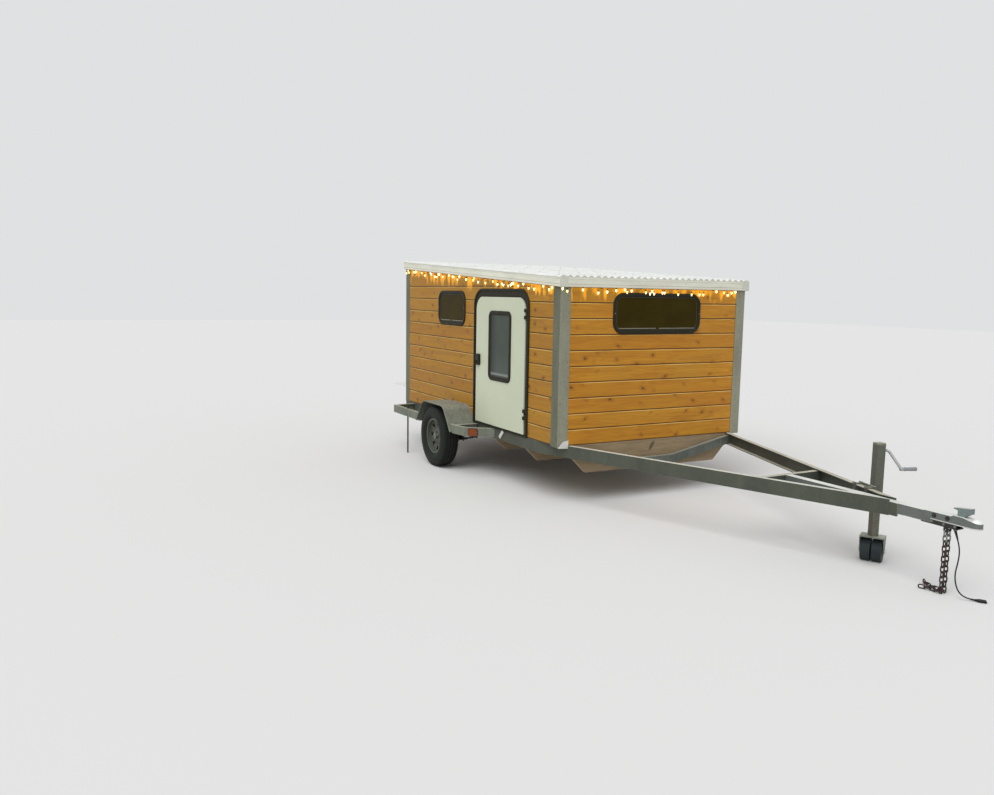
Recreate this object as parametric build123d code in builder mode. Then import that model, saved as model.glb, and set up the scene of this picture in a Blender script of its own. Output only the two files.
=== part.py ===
"""Small wood-clad camping trailer on a galvanised V-frame, in millimetres.

+X points forward along the tongue, +Y to the left and +Z up. The origin is on
the ground, under the centre of the whole trailer's box. It stands parked on
its two road wheels and its tongue jack.
"""
import os
from math import atan2, ceil, cos, degrees, hypot, pi, radians, sin, sqrt, tan

from build123d import *

os.makedirs("parts", exist_ok=True)

# Body box
body_length = 3270
body_width = 1975
front_height = 1300
rear_height = 1500
wall = 60
board_pitch = 130
groove_width = 9
deck_thickness = 19

# Heights above the ground
tyre_radius = 305
axle_drop = 188
base_z = tyre_radius + axle_drop

# Steel frame
rail_height = 102
rail_flange = 42
rail_web = 6
cross_height = 76
cross_flange = 40
cross_web = 5
beam_size = 64
beam_wall = 5
bend_back = 280
tongue_length = 2938
beam_back = 1530
beam_front = 2650
rail_meet = 2735.457

# Running gear
axle_back = 1897
tyre_width = 175
tyre_face = 285
rim_radius = 182.5
rim_bead = 165
hub_radius = 57
spindle_radius = 19
axle_tube = 50
running_gap = 0.3
seat_gap = 0.4
moving_gap = 6

# Roof
fascia_height = 76
fascia_thick = 25
wave_pitch = 67.8
wave_depth = 17
sheet_thick = 1.6
wave_steps = 4

# Rear shelf and stands
shelf_depth = 355
shelf_thick = 16
shelf_drop = 167

half_width = body_width / 2
front_x = (tongue_length + body_length + shelf_depth) / 2 - tongue_length
rear_x = front_x - body_length
roof_slope = (rear_height - front_height) / body_length
roof_z = base_z + front_height
roof_angle = degrees(atan2(rear_height - front_height, body_length))
axle_x = front_x - axle_back
bend_x = front_x - bend_back
rail_slope = half_width / rail_meet
roof_plane = Plane(origin=(front_x, 0, roof_z), x_dir=(1, 0, -roof_slope), z_dir=(roof_slope, 0, 1))


def roof_line(x):
    """Height of the walls' top edge at a station x."""
    return roof_z + roof_slope * (front_x - x)


def save(piece, label):
    """Label a finished piece and write its STEP file."""
    piece.part.label = label
    export_step(piece.part, "parts/" + label + ".step")


# Walls, with a V-groove at each board joint
window_wide = 636
window_high = 346
window_radius = 100
window_low = 914
side_window_back = 2046
front_window_wide = 937
front_window_drop = 40
frame_lap = 14
window_proud = 12
window_frame_wide = 32
glass_thick = 5
door_frame_wide = 1029
door_frame_back = 1000.5
door_frame_low = -5
door_frame_high = 1279
door_frame_radius = 150
door_margin = 103
door_shift = 2.5
door_low = 18
door_high = 1188
door_radius = 120
door_thick = 45
door_proud = 13
door_seat = 5
frame_proud = 5

side_window_z = base_z + window_low + window_high / 2
front_window_z = base_z + front_height - front_window_drop - window_high / 2
side_window_x = front_x - side_window_back
door_wide = door_frame_wide - door_margin
door_x = front_x - door_frame_back + door_shift
door_z = base_z + door_low
door_frame_x = front_x - door_frame_back
door_frame_z = base_z + door_frame_low
groove_levels = [base_z + board_pitch * k for k in range(1, ceil(rear_height / board_pitch))]


def arched_panel(x_mid, z_low, wide, high, radius):
    """Outline of a door: square at the sill and round at its two upper corners."""
    left = x_mid - wide / 2
    right = x_mid + wide / 2
    top = z_low + high
    with BuildSketch() as outline:
        with BuildLine():
            start = Line((left, z_low), (left, top - radius))
            arc = JernArc(start @ 1, start % 1, radius, -90)
            across = Line(arc @ 1, (right - radius, top))
            fall = JernArc(across @ 1, across % 1, radius, -90)
            down = Line(fall @ 1, (right, z_low))
            Line(down @ 1, (left, z_low))
        make_face()
    return outline.sketch


def side_profile(x_back, x_front):
    """Side view of a wall that stands on the frame and ends at the roof line."""
    with BuildSketch() as outline:
        with BuildLine():
            Polyline(
                (x_back, base_z),
                (x_front, base_z),
                (x_front, roof_line(x_front)),
                (x_back, roof_line(x_back)),
                close=True,
            )
        make_face()
    return outline.sketch


with BuildPart() as right_wall:
    with BuildSketch(Plane.XZ.offset(half_width)):
        add(side_profile(rear_x, front_x))
    extrude(amount=-wall)
    with BuildSketch(Plane.YZ.offset(rear_x)):
        with Locations(*[(-half_width, z) for z in groove_levels]):
            Rectangle(groove_width * sqrt(0.5), groove_width * sqrt(0.5), rotation=45)
    extrude(amount=body_length, mode=Mode.SUBTRACT)
    with BuildSketch(Plane.XZ.offset(half_width)):
        with Locations((side_window_x, side_window_z)):
            RectangleRounded(
                window_wide - 2 * frame_lap, window_high - 2 * frame_lap, window_radius - frame_lap
            )
        add(
            arched_panel(
                door_x,
                door_z - door_seat - moving_gap,
                door_wide + 2 * (door_seat + moving_gap),
                door_high + 2 * (door_seat + moving_gap),
                door_radius + door_seat + moving_gap,
            )
        )
    extrude(amount=-wall, mode=Mode.SUBTRACT)
save(right_wall, "right_wall")

with BuildPart() as left_wall:
    with BuildSketch(Plane.XZ.offset(-half_width)):
        add(side_profile(rear_x, front_x))
    extrude(amount=wall)
    with BuildSketch(Plane.YZ.offset(rear_x)):
        with Locations(*[(half_width, z) for z in groove_levels]):
            Rectangle(groove_width * sqrt(0.5), groove_width * sqrt(0.5), rotation=45)
    extrude(amount=body_length, mode=Mode.SUBTRACT)
    with BuildSketch(Plane.XZ.offset(-half_width)):
        with Locations((side_window_x, side_window_z)):
            RectangleRounded(
                window_wide - 2 * frame_lap, window_high - 2 * frame_lap, window_radius - frame_lap
            )
    extrude(amount=wall, mode=Mode.SUBTRACT)
save(left_wall, "left_wall")

inner_half = half_width - wall

with BuildPart() as front_wall:
    with BuildSketch(Plane.XZ):
        add(side_profile(front_x - wall, front_x))
    extrude(amount=inner_half, both=True)
    with BuildSketch(Plane.XZ):
        with Locations(*[(front_x, z) for z in groove_levels]):
            Rectangle(groove_width * sqrt(0.5), groove_width * sqrt(0.5), rotation=45)
    extrude(amount=inner_half, both=True, mode=Mode.SUBTRACT)
    with BuildSketch(Plane.YZ.offset(front_x)):
        with Locations((0, front_window_z)):
            RectangleRounded(
                front_window_wide - 2 * frame_lap, window_high - 2 * frame_lap, window_radius - frame_lap
            )
    extrude(amount=-wall, mode=Mode.SUBTRACT)
save(front_wall, "front_wall")

with BuildPart() as rear_wall:
    with BuildSketch(Plane.XZ):
        add(side_profile(rear_x, rear_x + wall))
    extrude(amount=inner_half, both=True)
    with BuildSketch(Plane.XZ):
        with Locations(*[(rear_x, z) for z in groove_levels]):
            Rectangle(groove_width * sqrt(0.5), groove_width * sqrt(0.5), rotation=45)
    extrude(amount=inner_half, both=True, mode=Mode.SUBTRACT)
save(rear_wall, "rear_wall")

with BuildPart() as floor_deck:
    with BuildSketch(Plane.XY.offset(base_z)):
        with Locations(((front_x + rear_x) / 2, 0)):
            Rectangle(body_length - 2 * wall, 2 * inner_half)
    extrude(amount=deck_thickness)
save(floor_deck, "floor_deck")

bend_length = sqrt(1 + rail_slope**2)


def rail_face(x, depth=0):
    """Distance from the centreline of a rail's outer face, or of a face that deep inside it."""
    inward = max(0, x - bend_x) * rail_slope
    return half_width - inward - depth * (bend_length if x > bend_x else 1)


# Joists hung between the rails, with their lower corners cut off at 45 degrees
joist_thick = 38
joist_depth = 240
joist_chamfer = joist_depth - rail_height
joist_gap = 5.5
joist_stations = (0, 600, 1200, 2450, body_length - 220)  # distances back from the front wall

with BuildPart() as floor_joists:
    for station in joist_stations:
        joist_reach = rail_face(front_x - station, rail_flange) - joist_gap
        with BuildSketch(Plane.YZ.offset(front_x - station)):
            with BuildLine():
                Polyline(
                    (-joist_reach, base_z),
                    (joist_reach, base_z),
                    (joist_reach, base_z - rail_height),
                    (joist_reach - joist_chamfer, base_z - joist_depth),
                    (joist_chamfer - joist_reach, base_z - joist_depth),
                    (-joist_reach, base_z - rail_height),
                    close=True,
                )
            make_face()
        extrude(amount=-joist_thick)
save(floor_joists, "floor_joists")

# Angle-iron posts round the four corners
post_flange = 98
post_thick = 3
post_drop = 10

with BuildPart() as corner_posts:
    for side in (-1, 1):
        for x_face, forward in ((front_x, 1), (rear_x, -1)):
            x_out = x_face + forward * post_thick
            x_in = x_face - forward * post_flange
            y_out = side * (half_width + post_thick)
            y_in = side * (half_width - post_flange)
            with BuildSketch(Plane.XY.offset(base_z - post_drop)):
                with BuildLine():
                    Polyline(
                        (x_in, side * half_width),
                        (x_in, y_out),
                        (x_out, y_out),
                        (x_out, y_in),
                        (x_face, y_in),
                        (x_face, side * half_width),
                        close=True,
                    )
                make_face()
            extrude(amount=rear_height + post_drop + post_flange)
    split(bisect_by=roof_plane, keep=Keep.BOTTOM)
save(corner_posts, "corner_posts")

# Roof: an insulated panel inside a fascia ring, under corrugated sheet
roof_front = front_x + fascia_thick
roof_back = rear_x - fascia_thick
roof_run = (roof_front - roof_back) / cos(radians(roof_angle))

with BuildPart() as roof_panel:
    with BuildSketch(Plane.XZ):
        with BuildLine():
            Polyline(
                (rear_x, roof_line(rear_x)),
                (front_x, roof_line(front_x)),
                (front_x, roof_line(front_x) + fascia_height),
                (rear_x, roof_line(rear_x) + fascia_height),
                close=True,
            )
        make_face()
    extrude(amount=half_width, both=True)
save(roof_panel, "roof_panel")

with BuildPart() as fascia:
    with BuildSketch(Plane.XZ):
        with BuildLine():
            Polyline(
                (roof_back, roof_line(roof_back)),
                (roof_front, roof_line(roof_front)),
                (roof_front, roof_line(roof_front) + fascia_height),
                (roof_back, roof_line(roof_back) + fascia_height),
                close=True,
            )
        make_face()
    extrude(amount=half_width + fascia_thick, both=True)
    with BuildSketch(Plane.XY.offset(base_z)):
        with Locations(((front_x + rear_x) / 2, 0)):
            Rectangle(body_length, body_width)
    extrude(amount=2 * rear_height, mode=Mode.SUBTRACT)
save(fascia, "fascia")

wave_count = ceil((body_width + 2 * fascia_thick) / wave_pitch - 0.5)
sheet_half = wave_count * wave_pitch / 2
sheet_plane = Plane(
    origin=(roof_front, 0, roof_line(roof_front) + fascia_height), x_dir=(0, -1, 0), z_dir=(-1, 0, roof_slope)
)


def wave_line(lift):
    """Corrugations across the roof as a cosine, lifted by the sheet's thickness."""
    return [
        (
            wave_pitch / (2 * wave_steps) * k - sheet_half,
            wave_depth / 2 * (1 - cos(pi * k / wave_steps)) + lift,
        )
        for k in range(2 * wave_count * wave_steps + 1)
    ]


with BuildPart() as roof_sheet:
    with BuildSketch(sheet_plane):
        with BuildLine():
            Polyline(*wave_line(0))
            Polyline(*wave_line(sheet_thick))
            for y_end in (-sheet_half, sheet_half):
                Line((y_end, 0), (y_end, sheet_thick))
        make_face()
    extrude(amount=roof_run)
save(roof_sheet, "roof_sheet")

# Windows
with BuildPart() as window_frames:
    for side in (-1, 1):
        with BuildSketch(Plane.XZ.offset(-side * half_width)):
            with Locations((side_window_x, side_window_z)):
                RectangleRounded(window_wide, window_high, window_radius)
                RectangleRounded(
                    window_wide - 2 * window_frame_wide,
                    window_high - 2 * window_frame_wide,
                    window_radius - window_frame_wide,
                    mode=Mode.SUBTRACT,
                )
        extrude(amount=-side * window_proud)
        with BuildSketch(Plane.XZ.offset(-side * half_width)):
            with Locations((side_window_x, side_window_z)):
                RectangleRounded(
                    window_wide - 2 * frame_lap, window_high - 2 * frame_lap, window_radius - frame_lap
                )
                RectangleRounded(
                    window_wide - 2 * window_frame_wide,
                    window_high - 2 * window_frame_wide,
                    window_radius - window_frame_wide,
                    mode=Mode.SUBTRACT,
                )
        extrude(amount=side * wall)
    with BuildSketch(Plane.YZ.offset(front_x)):
        with Locations((0, front_window_z)):
            RectangleRounded(front_window_wide, window_high, window_radius)
            RectangleRounded(
                front_window_wide - 2 * window_frame_wide,
                window_high - 2 * window_frame_wide,
                window_radius - window_frame_wide,
                mode=Mode.SUBTRACT,
            )
    extrude(amount=window_proud)
    with BuildSketch(Plane.YZ.offset(front_x)):
        with Locations((0, front_window_z)):
            RectangleRounded(
                front_window_wide - 2 * frame_lap, window_high - 2 * frame_lap, window_radius - frame_lap
            )
            RectangleRounded(
                front_window_wide - 2 * window_frame_wide,
                window_high - 2 * window_frame_wide,
                window_radius - window_frame_wide,
                mode=Mode.SUBTRACT,
            )
    extrude(amount=-wall)
save(window_frames, "window_frames")

with BuildPart() as window_glass:
    for side in (-1, 1):
        with BuildSketch(Plane.XZ.offset(-side * half_width)):
            with Locations((side_window_x, side_window_z)):
                RectangleRounded(
                    window_wide - 2 * window_frame_wide,
                    window_high - 2 * window_frame_wide,
                    window_radius - window_frame_wide,
                )
        extrude(amount=side * glass_thick)
    with BuildSketch(Plane.YZ.offset(front_x)):
        with Locations((0, front_window_z)):
            RectangleRounded(
                front_window_wide - 2 * window_frame_wide,
                window_high - 2 * window_frame_wide,
                window_radius - window_frame_wide,
            )
    extrude(amount=-glass_thick)
save(window_glass, "window_glass")

# Door frame: an outer flange, a jamb through the wall and an inner stop
door_stop = 14
door_inner_face = door_proud - door_thick
jamb_plane = Plane.XZ.offset(half_width)

with BuildPart() as door_frame:
    with BuildSketch(jamb_plane):
        add(arched_panel(door_frame_x, door_frame_z, door_frame_wide, door_frame_high, door_frame_radius))
    extrude(amount=frame_proud)
    with BuildSketch(jamb_plane):
        add(
            arched_panel(
                door_x,
                door_z - door_seat - moving_gap,
                door_wide + 2 * (door_seat + moving_gap),
                door_high + 2 * (door_seat + moving_gap),
                door_radius + door_seat + moving_gap,
            )
        )
    extrude(amount=-wall)
    with BuildSketch(jamb_plane.offset(frame_proud)):
        add(
            arched_panel(
                door_x,
                door_z - moving_gap,
                door_wide + 2 * moving_gap,
                door_high + 2 * moving_gap,
                door_radius + moving_gap,
            )
        )
    extrude(amount=door_inner_face - moving_gap - frame_proud, mode=Mode.SUBTRACT)
    with BuildSketch(jamb_plane):
        add(
            arched_panel(
                door_x,
                door_z + door_stop,
                door_wide - 2 * door_stop,
                door_high - 2 * door_stop,
                door_radius - door_stop,
            )
        )
    extrude(amount=-wall, mode=Mode.SUBTRACT)
save(door_frame, "door_frame")

# Door slab with its own window
door_window_wide = 423
door_window_high = 642
door_window_low = 439
door_window_back = 988.5
door_window_radius = 60
door_window_frame = 35
door_face = half_width + door_proud
door_window_x = front_x - door_window_back
door_window_z = base_z + door_window_low + door_window_high / 2

with BuildPart() as door_panel:
    with BuildSketch(Plane.XZ.offset(door_face)):
        add(arched_panel(door_x, door_z, door_wide, door_high, door_radius))
        with Locations((door_window_x, door_window_z)):
            RectangleRounded(
                door_window_wide - 2 * frame_lap,
                door_window_high - 2 * frame_lap,
                door_window_radius - frame_lap,
                mode=Mode.SUBTRACT,
            )
    extrude(amount=-door_thick)
save(door_panel, "door_panel")

with BuildPart() as door_window_rim:
    for wide_lap, depth in ((0, window_proud), (frame_lap, -door_thick)):
        with BuildSketch(Plane.XZ.offset(door_face)):
            with Locations((door_window_x, door_window_z)):
                RectangleRounded(
                    door_window_wide - 2 * wide_lap,
                    door_window_high - 2 * wide_lap,
                    door_window_radius - wide_lap,
                )
                RectangleRounded(
                    door_window_wide - 2 * door_window_frame,
                    door_window_high - 2 * door_window_frame,
                    door_window_radius - door_window_frame,
                    mode=Mode.SUBTRACT,
                )
        extrude(amount=depth)
save(door_window_rim, "door_window_rim")

with BuildPart() as door_glass:
    with BuildSketch(Plane.XZ.offset(door_face)):
        with Locations((door_window_x, door_window_z)):
            RectangleRounded(
                door_window_wide - 2 * door_window_frame,
                door_window_high - 2 * door_window_frame,
                door_window_radius - door_window_frame,
            )
    extrude(amount=-glass_thick)
save(door_glass, "door_glass")

latch_wide = 80
latch_high = 105
latch_low = 560
latch_inset = 12
latch_proud = 22
latch_dish = 12
latch_lip = 12
latch_x = door_x - door_wide / 2 + latch_inset + latch_wide / 2
latch_z = base_z + latch_low + latch_high / 2

with BuildPart() as door_latch:
    with BuildSketch(Plane.XZ.offset(door_face)):
        with Locations((latch_x, latch_z)):
            RectangleRounded(latch_wide, latch_high, latch_lip)
    extrude(amount=latch_proud)
    with BuildSketch(Plane.XZ.offset(door_face + latch_proud)):
        with Locations((latch_x, latch_z)):
            RectangleRounded(latch_wide - 2 * latch_lip, latch_high - 2 * latch_lip, latch_lip / 2)
    extrude(amount=-latch_dish, mode=Mode.SUBTRACT)
save(door_latch, "door_latch")

# Door hinges: the frame holds the pin and two knuckles, the door one knuckle between them
hinge_radius = 7
hinge_pin = 3.5
hinge_high = 90
hinge_leaf = 26
leaf_thick = 3
hinge_levels = (150, 1020)
hinge_x = door_x + door_wide / 2 + moving_gap / 2
hinge_y = -(door_face + hinge_radius + running_gap)
knuckle_high = hinge_high / 3

with BuildPart() as hinge_door_leaves:
    for level in hinge_levels:
        z_low = base_z + level + knuckle_high + running_gap
        span = knuckle_high - 2 * running_gap
        with BuildSketch(Plane.XY.offset(z_low)):
            with Locations((hinge_x, hinge_y)):
                Circle(hinge_radius)
            with Locations((hinge_x - hinge_leaf / 2, -door_face - leaf_thick / 2)):
                Rectangle(hinge_leaf, leaf_thick)
            with Locations((hinge_x, hinge_y)):
                Circle(hinge_pin + running_gap, mode=Mode.SUBTRACT)
            with Locations((hinge_x + hinge_leaf / 2, -door_face)):
                Rectangle(hinge_leaf - moving_gap, 2 * leaf_thick, mode=Mode.SUBTRACT)
        extrude(amount=span)
save(hinge_door_leaves, "hinge_door_leaves")

with BuildPart() as hinge_frame_leaves:
    for level in hinge_levels:
        for share in (0, 2):
            with BuildSketch(Plane.XY.offset(base_z + level + share * knuckle_high)):
                with Locations((hinge_x, hinge_y)):
                    Circle(hinge_radius)
                with BuildLine():
                    Polyline(
                        (hinge_x, hinge_y - hinge_radius),
                        (hinge_x + hinge_leaf, -half_width - frame_proud - leaf_thick),
                        (hinge_x + hinge_leaf, -half_width - frame_proud),
                        (hinge_x + moving_gap, -half_width - frame_proud),
                        (hinge_x + moving_gap, hinge_y),
                        (hinge_x, hinge_y),
                        close=True,
                    )
                make_face()
            extrude(amount=knuckle_high)
        with BuildSketch(Plane.XY.offset(base_z + level)):
            with Locations((hinge_x, hinge_y)):
                Circle(hinge_pin)
        extrude(amount=hinge_high)
save(hinge_frame_leaves, "hinge_frame_leaves")

# Main rails: channels along the body that bend inward to the tongue beam
rail_end_x = bend_x + rail_meet

with BuildPart() as rail_right:
    with BuildLine() as rail_path:
        Polyline(
            (rear_x, -half_width, base_z),
            (bend_x, -half_width, base_z),
            (rail_end_x, -rail_face(rail_end_x), base_z),
        )
    with BuildSketch(Plane(origin=(rear_x, -half_width, base_z), x_dir=(0, 1, 0), z_dir=(1, 0, 0))):
        with Locations((rail_flange / 2, -rail_height / 2)):
            Rectangle(rail_flange, rail_height)
        with Locations((rail_web + rail_flange / 2, -rail_height / 2)):
            Rectangle(rail_flange, rail_height - 2 * rail_web, mode=Mode.SUBTRACT)
    sweep(path=rail_path.line, transition=Transition.RIGHT)
    split(bisect_by=Plane.XZ.offset(beam_size / 2), keep=Keep.TOP)
save(rail_right, "rail_right")

with BuildPart() as rail_left:
    mirror(rail_right.part, about=Plane.XZ)
save(rail_left, "rail_left")

cross_top = base_z - (rail_height - cross_height) / 2


def cross_plan(x_back, x_front):
    """Plan of a cross-member whose ends follow the rails' webs."""
    with BuildSketch() as outline:
        with BuildLine():
            Polyline(
                (x_back, -rail_face(x_back, rail_web)),
                (x_front, -rail_face(x_front, rail_web)),
                (x_front, rail_face(x_front, rail_web)),
                (x_back, rail_face(x_back, rail_web)),
                close=True,
            )
        make_face()
    return outline.sketch


cross_behind = 480
cross_ahead = 440

# Level cross-members: back edge, and where the channel's web stands
cross_table = (
    (rear_x, 0),
    (axle_x - cross_behind, 0),
    (axle_x + cross_ahead, 0),
    (front_x + beam_back - cross_flange, cross_flange - cross_web),
)

with BuildPart() as crossmembers:
    for x_back, web_at in cross_table:
        with BuildSketch(Plane.XY.offset(cross_top)):
            add(cross_plan(x_back, x_back + cross_flange))
        extrude(amount=-cross_height)
        x_open = x_back + (0 if web_at else cross_web)
        with BuildSketch(Plane.XY.offset(cross_top - cross_web)):
            add(cross_plan(x_open, x_open + cross_flange - cross_web))
        extrude(amount=2 * cross_web - cross_height, mode=Mode.SUBTRACT)
save(crossmembers, "crossmembers")

# Dropped cross-member under the front wall, cranked down to a flat middle
drop_x = front_x + 4
drop_flat = 187.5
drop_bend = 500
drop_fall = 138
drop_top = base_z - rail_web - 3
drop_reach = rail_face(drop_x, rail_web)


def drop_profile(inset):
    """Front view of the cranked cross-member, thinned by an inset above and below."""
    high = drop_top - inset
    low = drop_top - cross_height + inset
    with BuildSketch() as outline:
        with BuildLine():
            upper = FilletPolyline(
                (-drop_reach, high),
                (-drop_flat, high - drop_fall),
                (drop_flat, high - drop_fall),
                (drop_reach, high),
                radius=drop_bend,
            )
            lower = FilletPolyline(
                (-drop_reach, low),
                (-drop_flat, low - drop_fall),
                (drop_flat, low - drop_fall),
                (drop_reach, low),
                radius=drop_bend,
            )
            Line(upper @ 0, lower @ 0)
            Line(upper @ 1, lower @ 1)
        make_face()
    return outline.sketch


with BuildPart() as front_crossmember:
    with BuildSketch(Plane.YZ.offset(drop_x)):
        add(drop_profile(0))
    extrude(amount=cross_flange)
    with BuildSketch(Plane.YZ.offset(drop_x)):
        add(drop_profile(cross_web))
    extrude(amount=cross_flange - cross_web, mode=Mode.SUBTRACT)
    with BuildSketch(Plane.XY.offset(base_z)):
        add(cross_plan(drop_x, drop_x + cross_flange))
    extrude(amount=-base_z, mode=Mode.INTERSECT)
save(front_crossmember, "front_crossmember")

with BuildPart() as tongue_beam:
    with BuildSketch(Plane.YZ.offset(front_x + beam_back)):
        with Locations((0, cross_top - beam_size / 2)):
            Rectangle(beam_size, beam_size)
            Rectangle(beam_size - 2 * beam_wall, beam_size - 2 * beam_wall, mode=Mode.SUBTRACT)
    extrude(amount=beam_front - beam_back)
save(tongue_beam, "tongue_beam")

# Coupler: a pressed channel over the beam's end, with the ball socket in its nose
coupler_back = 2600
coupler_plate = 4
coupler_half = beam_size / 2 + coupler_plate
coupler_skirt = 41
coupler_rise = 8
coupler_rise_at = 2770
socket_radius = 25.6
socket_wall = 8
socket_deep = 23
nose_fall = 20
nose_fall_at = 2836
socket_back = tongue_length - socket_radius - socket_wall - coupler_plate / 2
coupler_top = cross_top + coupler_plate
coupler_low = cross_top - coupler_skirt
socket_x = front_x + socket_back
ball_z = coupler_low + socket_deep


def coupler_form(inset, run_out):
    """Solid form of the coupler's outside, or of its inside where it is set in by the plate."""
    half = coupler_half - inset
    plateau = coupler_top + coupler_rise - inset
    with BuildPart() as form:
        with BuildSketch(Plane.XZ):
            with BuildLine():
                Polyline(
                    (front_x + coupler_back - run_out, coupler_low - run_out),
                    (front_x + coupler_back - run_out, coupler_top - inset),
                    (front_x + coupler_rise_at, coupler_top - inset),
                    (front_x + coupler_rise_at + 2 * coupler_rise, plateau),
                    (front_x + nose_fall_at, plateau),
                    (front_x + tongue_length - inset, plateau - nose_fall),
                    (front_x + tongue_length - inset, coupler_low - run_out),
                    close=True,
                )
            make_face()
        extrude(amount=half, both=True)
        nose = form.edges().filter_by(Axis.Z).group_by(Axis.X)[-1]
        fillet(nose, half - 1)
    return form.part


def ball_cup(radius):
    """Upright cup round the tow ball: a straight skirt under a dome."""
    with BuildPart() as cup:
        with BuildSketch(Plane.XZ):
            with BuildLine():
                Polyline(
                    (socket_x, coupler_low),
                    (socket_x + radius, coupler_low),
                    *[
                        (socket_x + radius * cos(radians(rise)), ball_z + radius * sin(radians(rise)))
                        for rise in (0, 30, 60)
                    ],
                    (socket_x, ball_z + radius),
                    close=True,
                )
            make_face()
        revolve(axis=Axis((socket_x, 0, 0), (0, 0, 1)))
    return cup.part


with BuildPart() as coupler:
    add(coupler_form(0, 0))
    add(coupler_form(coupler_plate, coupler_plate), mode=Mode.SUBTRACT)
    add(ball_cup(socket_radius + socket_wall))
    add(ball_cup(socket_radius), mode=Mode.SUBTRACT)
save(coupler, "coupler")

# Latch lever on the coupler's plateau: a channel that climbs to its blunt front end
lever_back = 2772
lever_front = 2878
lever_foot_back = 2798
lever_wide = 34
lever_plate = 5
lever_rise = 42
lever_climb = 13
lever_deep = 31
lever_z = coupler_top + coupler_rise
lever_slope = lever_climb / (lever_front - lever_back)

with BuildPart() as coupler_lever:
    with BuildSketch(Plane.XZ):
        with BuildLine():
            Polyline(
                (front_x + lever_back, lever_z + lever_rise - lever_plate),
                (front_x + lever_back, lever_z + lever_rise),
                (front_x + lever_front, lever_z + lever_rise + lever_climb),
                (front_x + lever_front, lever_z + lever_rise + lever_climb - lever_deep),
                (front_x + nose_fall_at, lever_z),
                (front_x + lever_foot_back, lever_z),
                (front_x + lever_foot_back, lever_z + lever_rise - 2 * lever_plate),
                close=True,
            )
        make_face()
    extrude(amount=lever_wide / 2, both=True)
    with BuildSketch(Plane.XZ):
        with BuildLine():
            Polyline(
                (front_x + lever_back, lever_z - lever_plate),
                (front_x + lever_back, lever_z + lever_rise - lever_plate),
                (
                    front_x + lever_front - lever_plate,
                    lever_z + lever_rise + lever_climb - lever_plate * (1 + lever_slope),
                ),
                (front_x + lever_front - lever_plate, lever_z - lever_plate),
                close=True,
            )
        make_face()
    extrude(amount=lever_wide / 2 - lever_plate, both=True, mode=Mode.SUBTRACT)
save(coupler_lever, "coupler_lever")

# Safety chains: welded links, and the eye of the bracket that they hang from
link_wire = 8
link_inside = 31.5
link_gap = 13
link_clear = 0.3
link_leg = 14
link_tip = 4.5
chain_back = 2735
chain_half = 17
chain_hang = 12
chain_floor = 0.3
eye_plate = 6
eye_radius_in = 6
eye_wall = 7
ring_half_long = (link_inside + link_wire) / 2
ring_half_wide = (link_gap + link_wire) / 2
link_pitch = link_inside - link_clear
link_corner = link_wire / 2 / cos(pi / 6)
ground_link_z = chain_floor + link_wire / 2 + ring_half_wide
low_link_z = ground_link_z - link_corner - link_clear - link_wire / 2 + ring_half_long
top_link_z = low_link_z + (chain_hang - 1) * link_pitch
eye_rise = sqrt((eye_radius_in - link_clear) ** 2 - (link_corner / 2) ** 2) - link_wire / 2
eye_z_level = top_link_z + ring_half_long + eye_rise
chain_x = front_x + chain_back

# Bracket under the beam and coupler: a plate with two cheeks, two eyes and the lead's gland
bracket_front = 2812
bracket_plate = 6
gland_radius = 9
gland_long = 12
gland_drop = 14
plate_z = cross_top - beam_size

# The lead's route: distance ahead of the body, across to the left, and above the ground
lead_radius = 4
lead_sides = 8
lead_route = (
    (2796, -20, plate_z - gland_drop),
    (2817, -21, 352),
    (2836, -25, 290),
    (2833, -29, 222),
    (2822, -31, 158),
    (2826, -27, 96),
    (2842, -12, 42),
    (2872, 22, 12),
    (2905, 52, 9.5),
)
lead_points = [Vector(front_x + x, y, z) for x, y, z in lead_route]

with BuildPart() as chain_bracket:
    with BuildSketch(Plane.XY.offset(plate_z)):
        with Locations((front_x + (beam_front - beam_size + bracket_front) / 2, 0)):
            Rectangle(bracket_front - beam_front + beam_size, beam_size)
    extrude(amount=-bracket_plate)
    for side in (-1, 1):
        with BuildSketch(Plane.XZ.offset(-side * chain_half)):
            with Locations((chain_x, (plate_z + eye_z_level) / 2)):
                Rectangle(2 * (eye_radius_in + eye_wall), plate_z - eye_z_level)
            with Locations((chain_x, eye_z_level)):
                Circle(eye_radius_in + eye_wall)
                Circle(eye_radius_in, mode=Mode.SUBTRACT)
        extrude(amount=eye_plate / 2, both=True)
        with BuildSketch(Plane.XZ.offset(-side * (beam_size - eye_plate) / 2)):
            with Locations((front_x + (beam_front + bracket_front) / 2, (plate_z + coupler_low) / 2)):
                Rectangle(bracket_front - beam_front - 2 * bracket_plate, coupler_low - plate_z)
        extrude(amount=eye_plate / 2, both=True)
    with BuildSketch(Plane(origin=lead_points[0], z_dir=lead_points[0] - lead_points[1])):
        Circle(gland_radius)
    extrude(amount=gland_long)
save(chain_bracket, "chain_bracket")


# One link of round bar, lying flat: a mitred ring with its long direction along X
with BuildPart() as chain_link:
    with BuildLine() as ring:
        Polyline(
            (0, ring_half_wide),
            (-link_leg, ring_half_wide),
            (-ring_half_long, link_tip),
            (-ring_half_long, -link_tip),
            (-link_leg, -ring_half_wide),
            (link_leg, -ring_half_wide),
            (ring_half_long, -link_tip),
            (ring_half_long, link_tip),
            (link_leg, ring_half_wide),
            close=True,
        )
    with BuildSketch(Plane(origin=ring.line @ 0, x_dir=(0, 0, 1), z_dir=ring.line % 0)):
        RegularPolygon(radius=link_corner, side_count=6)
    sweep(path=ring.line, transition=Transition.RIGHT)


def link_place(spot, along, across):
    """Where a link sits: its centre, its long direction and its wide direction."""
    return Location(Plane(origin=spot, x_dir=along, z_dir=along.cross(across)))


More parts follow.
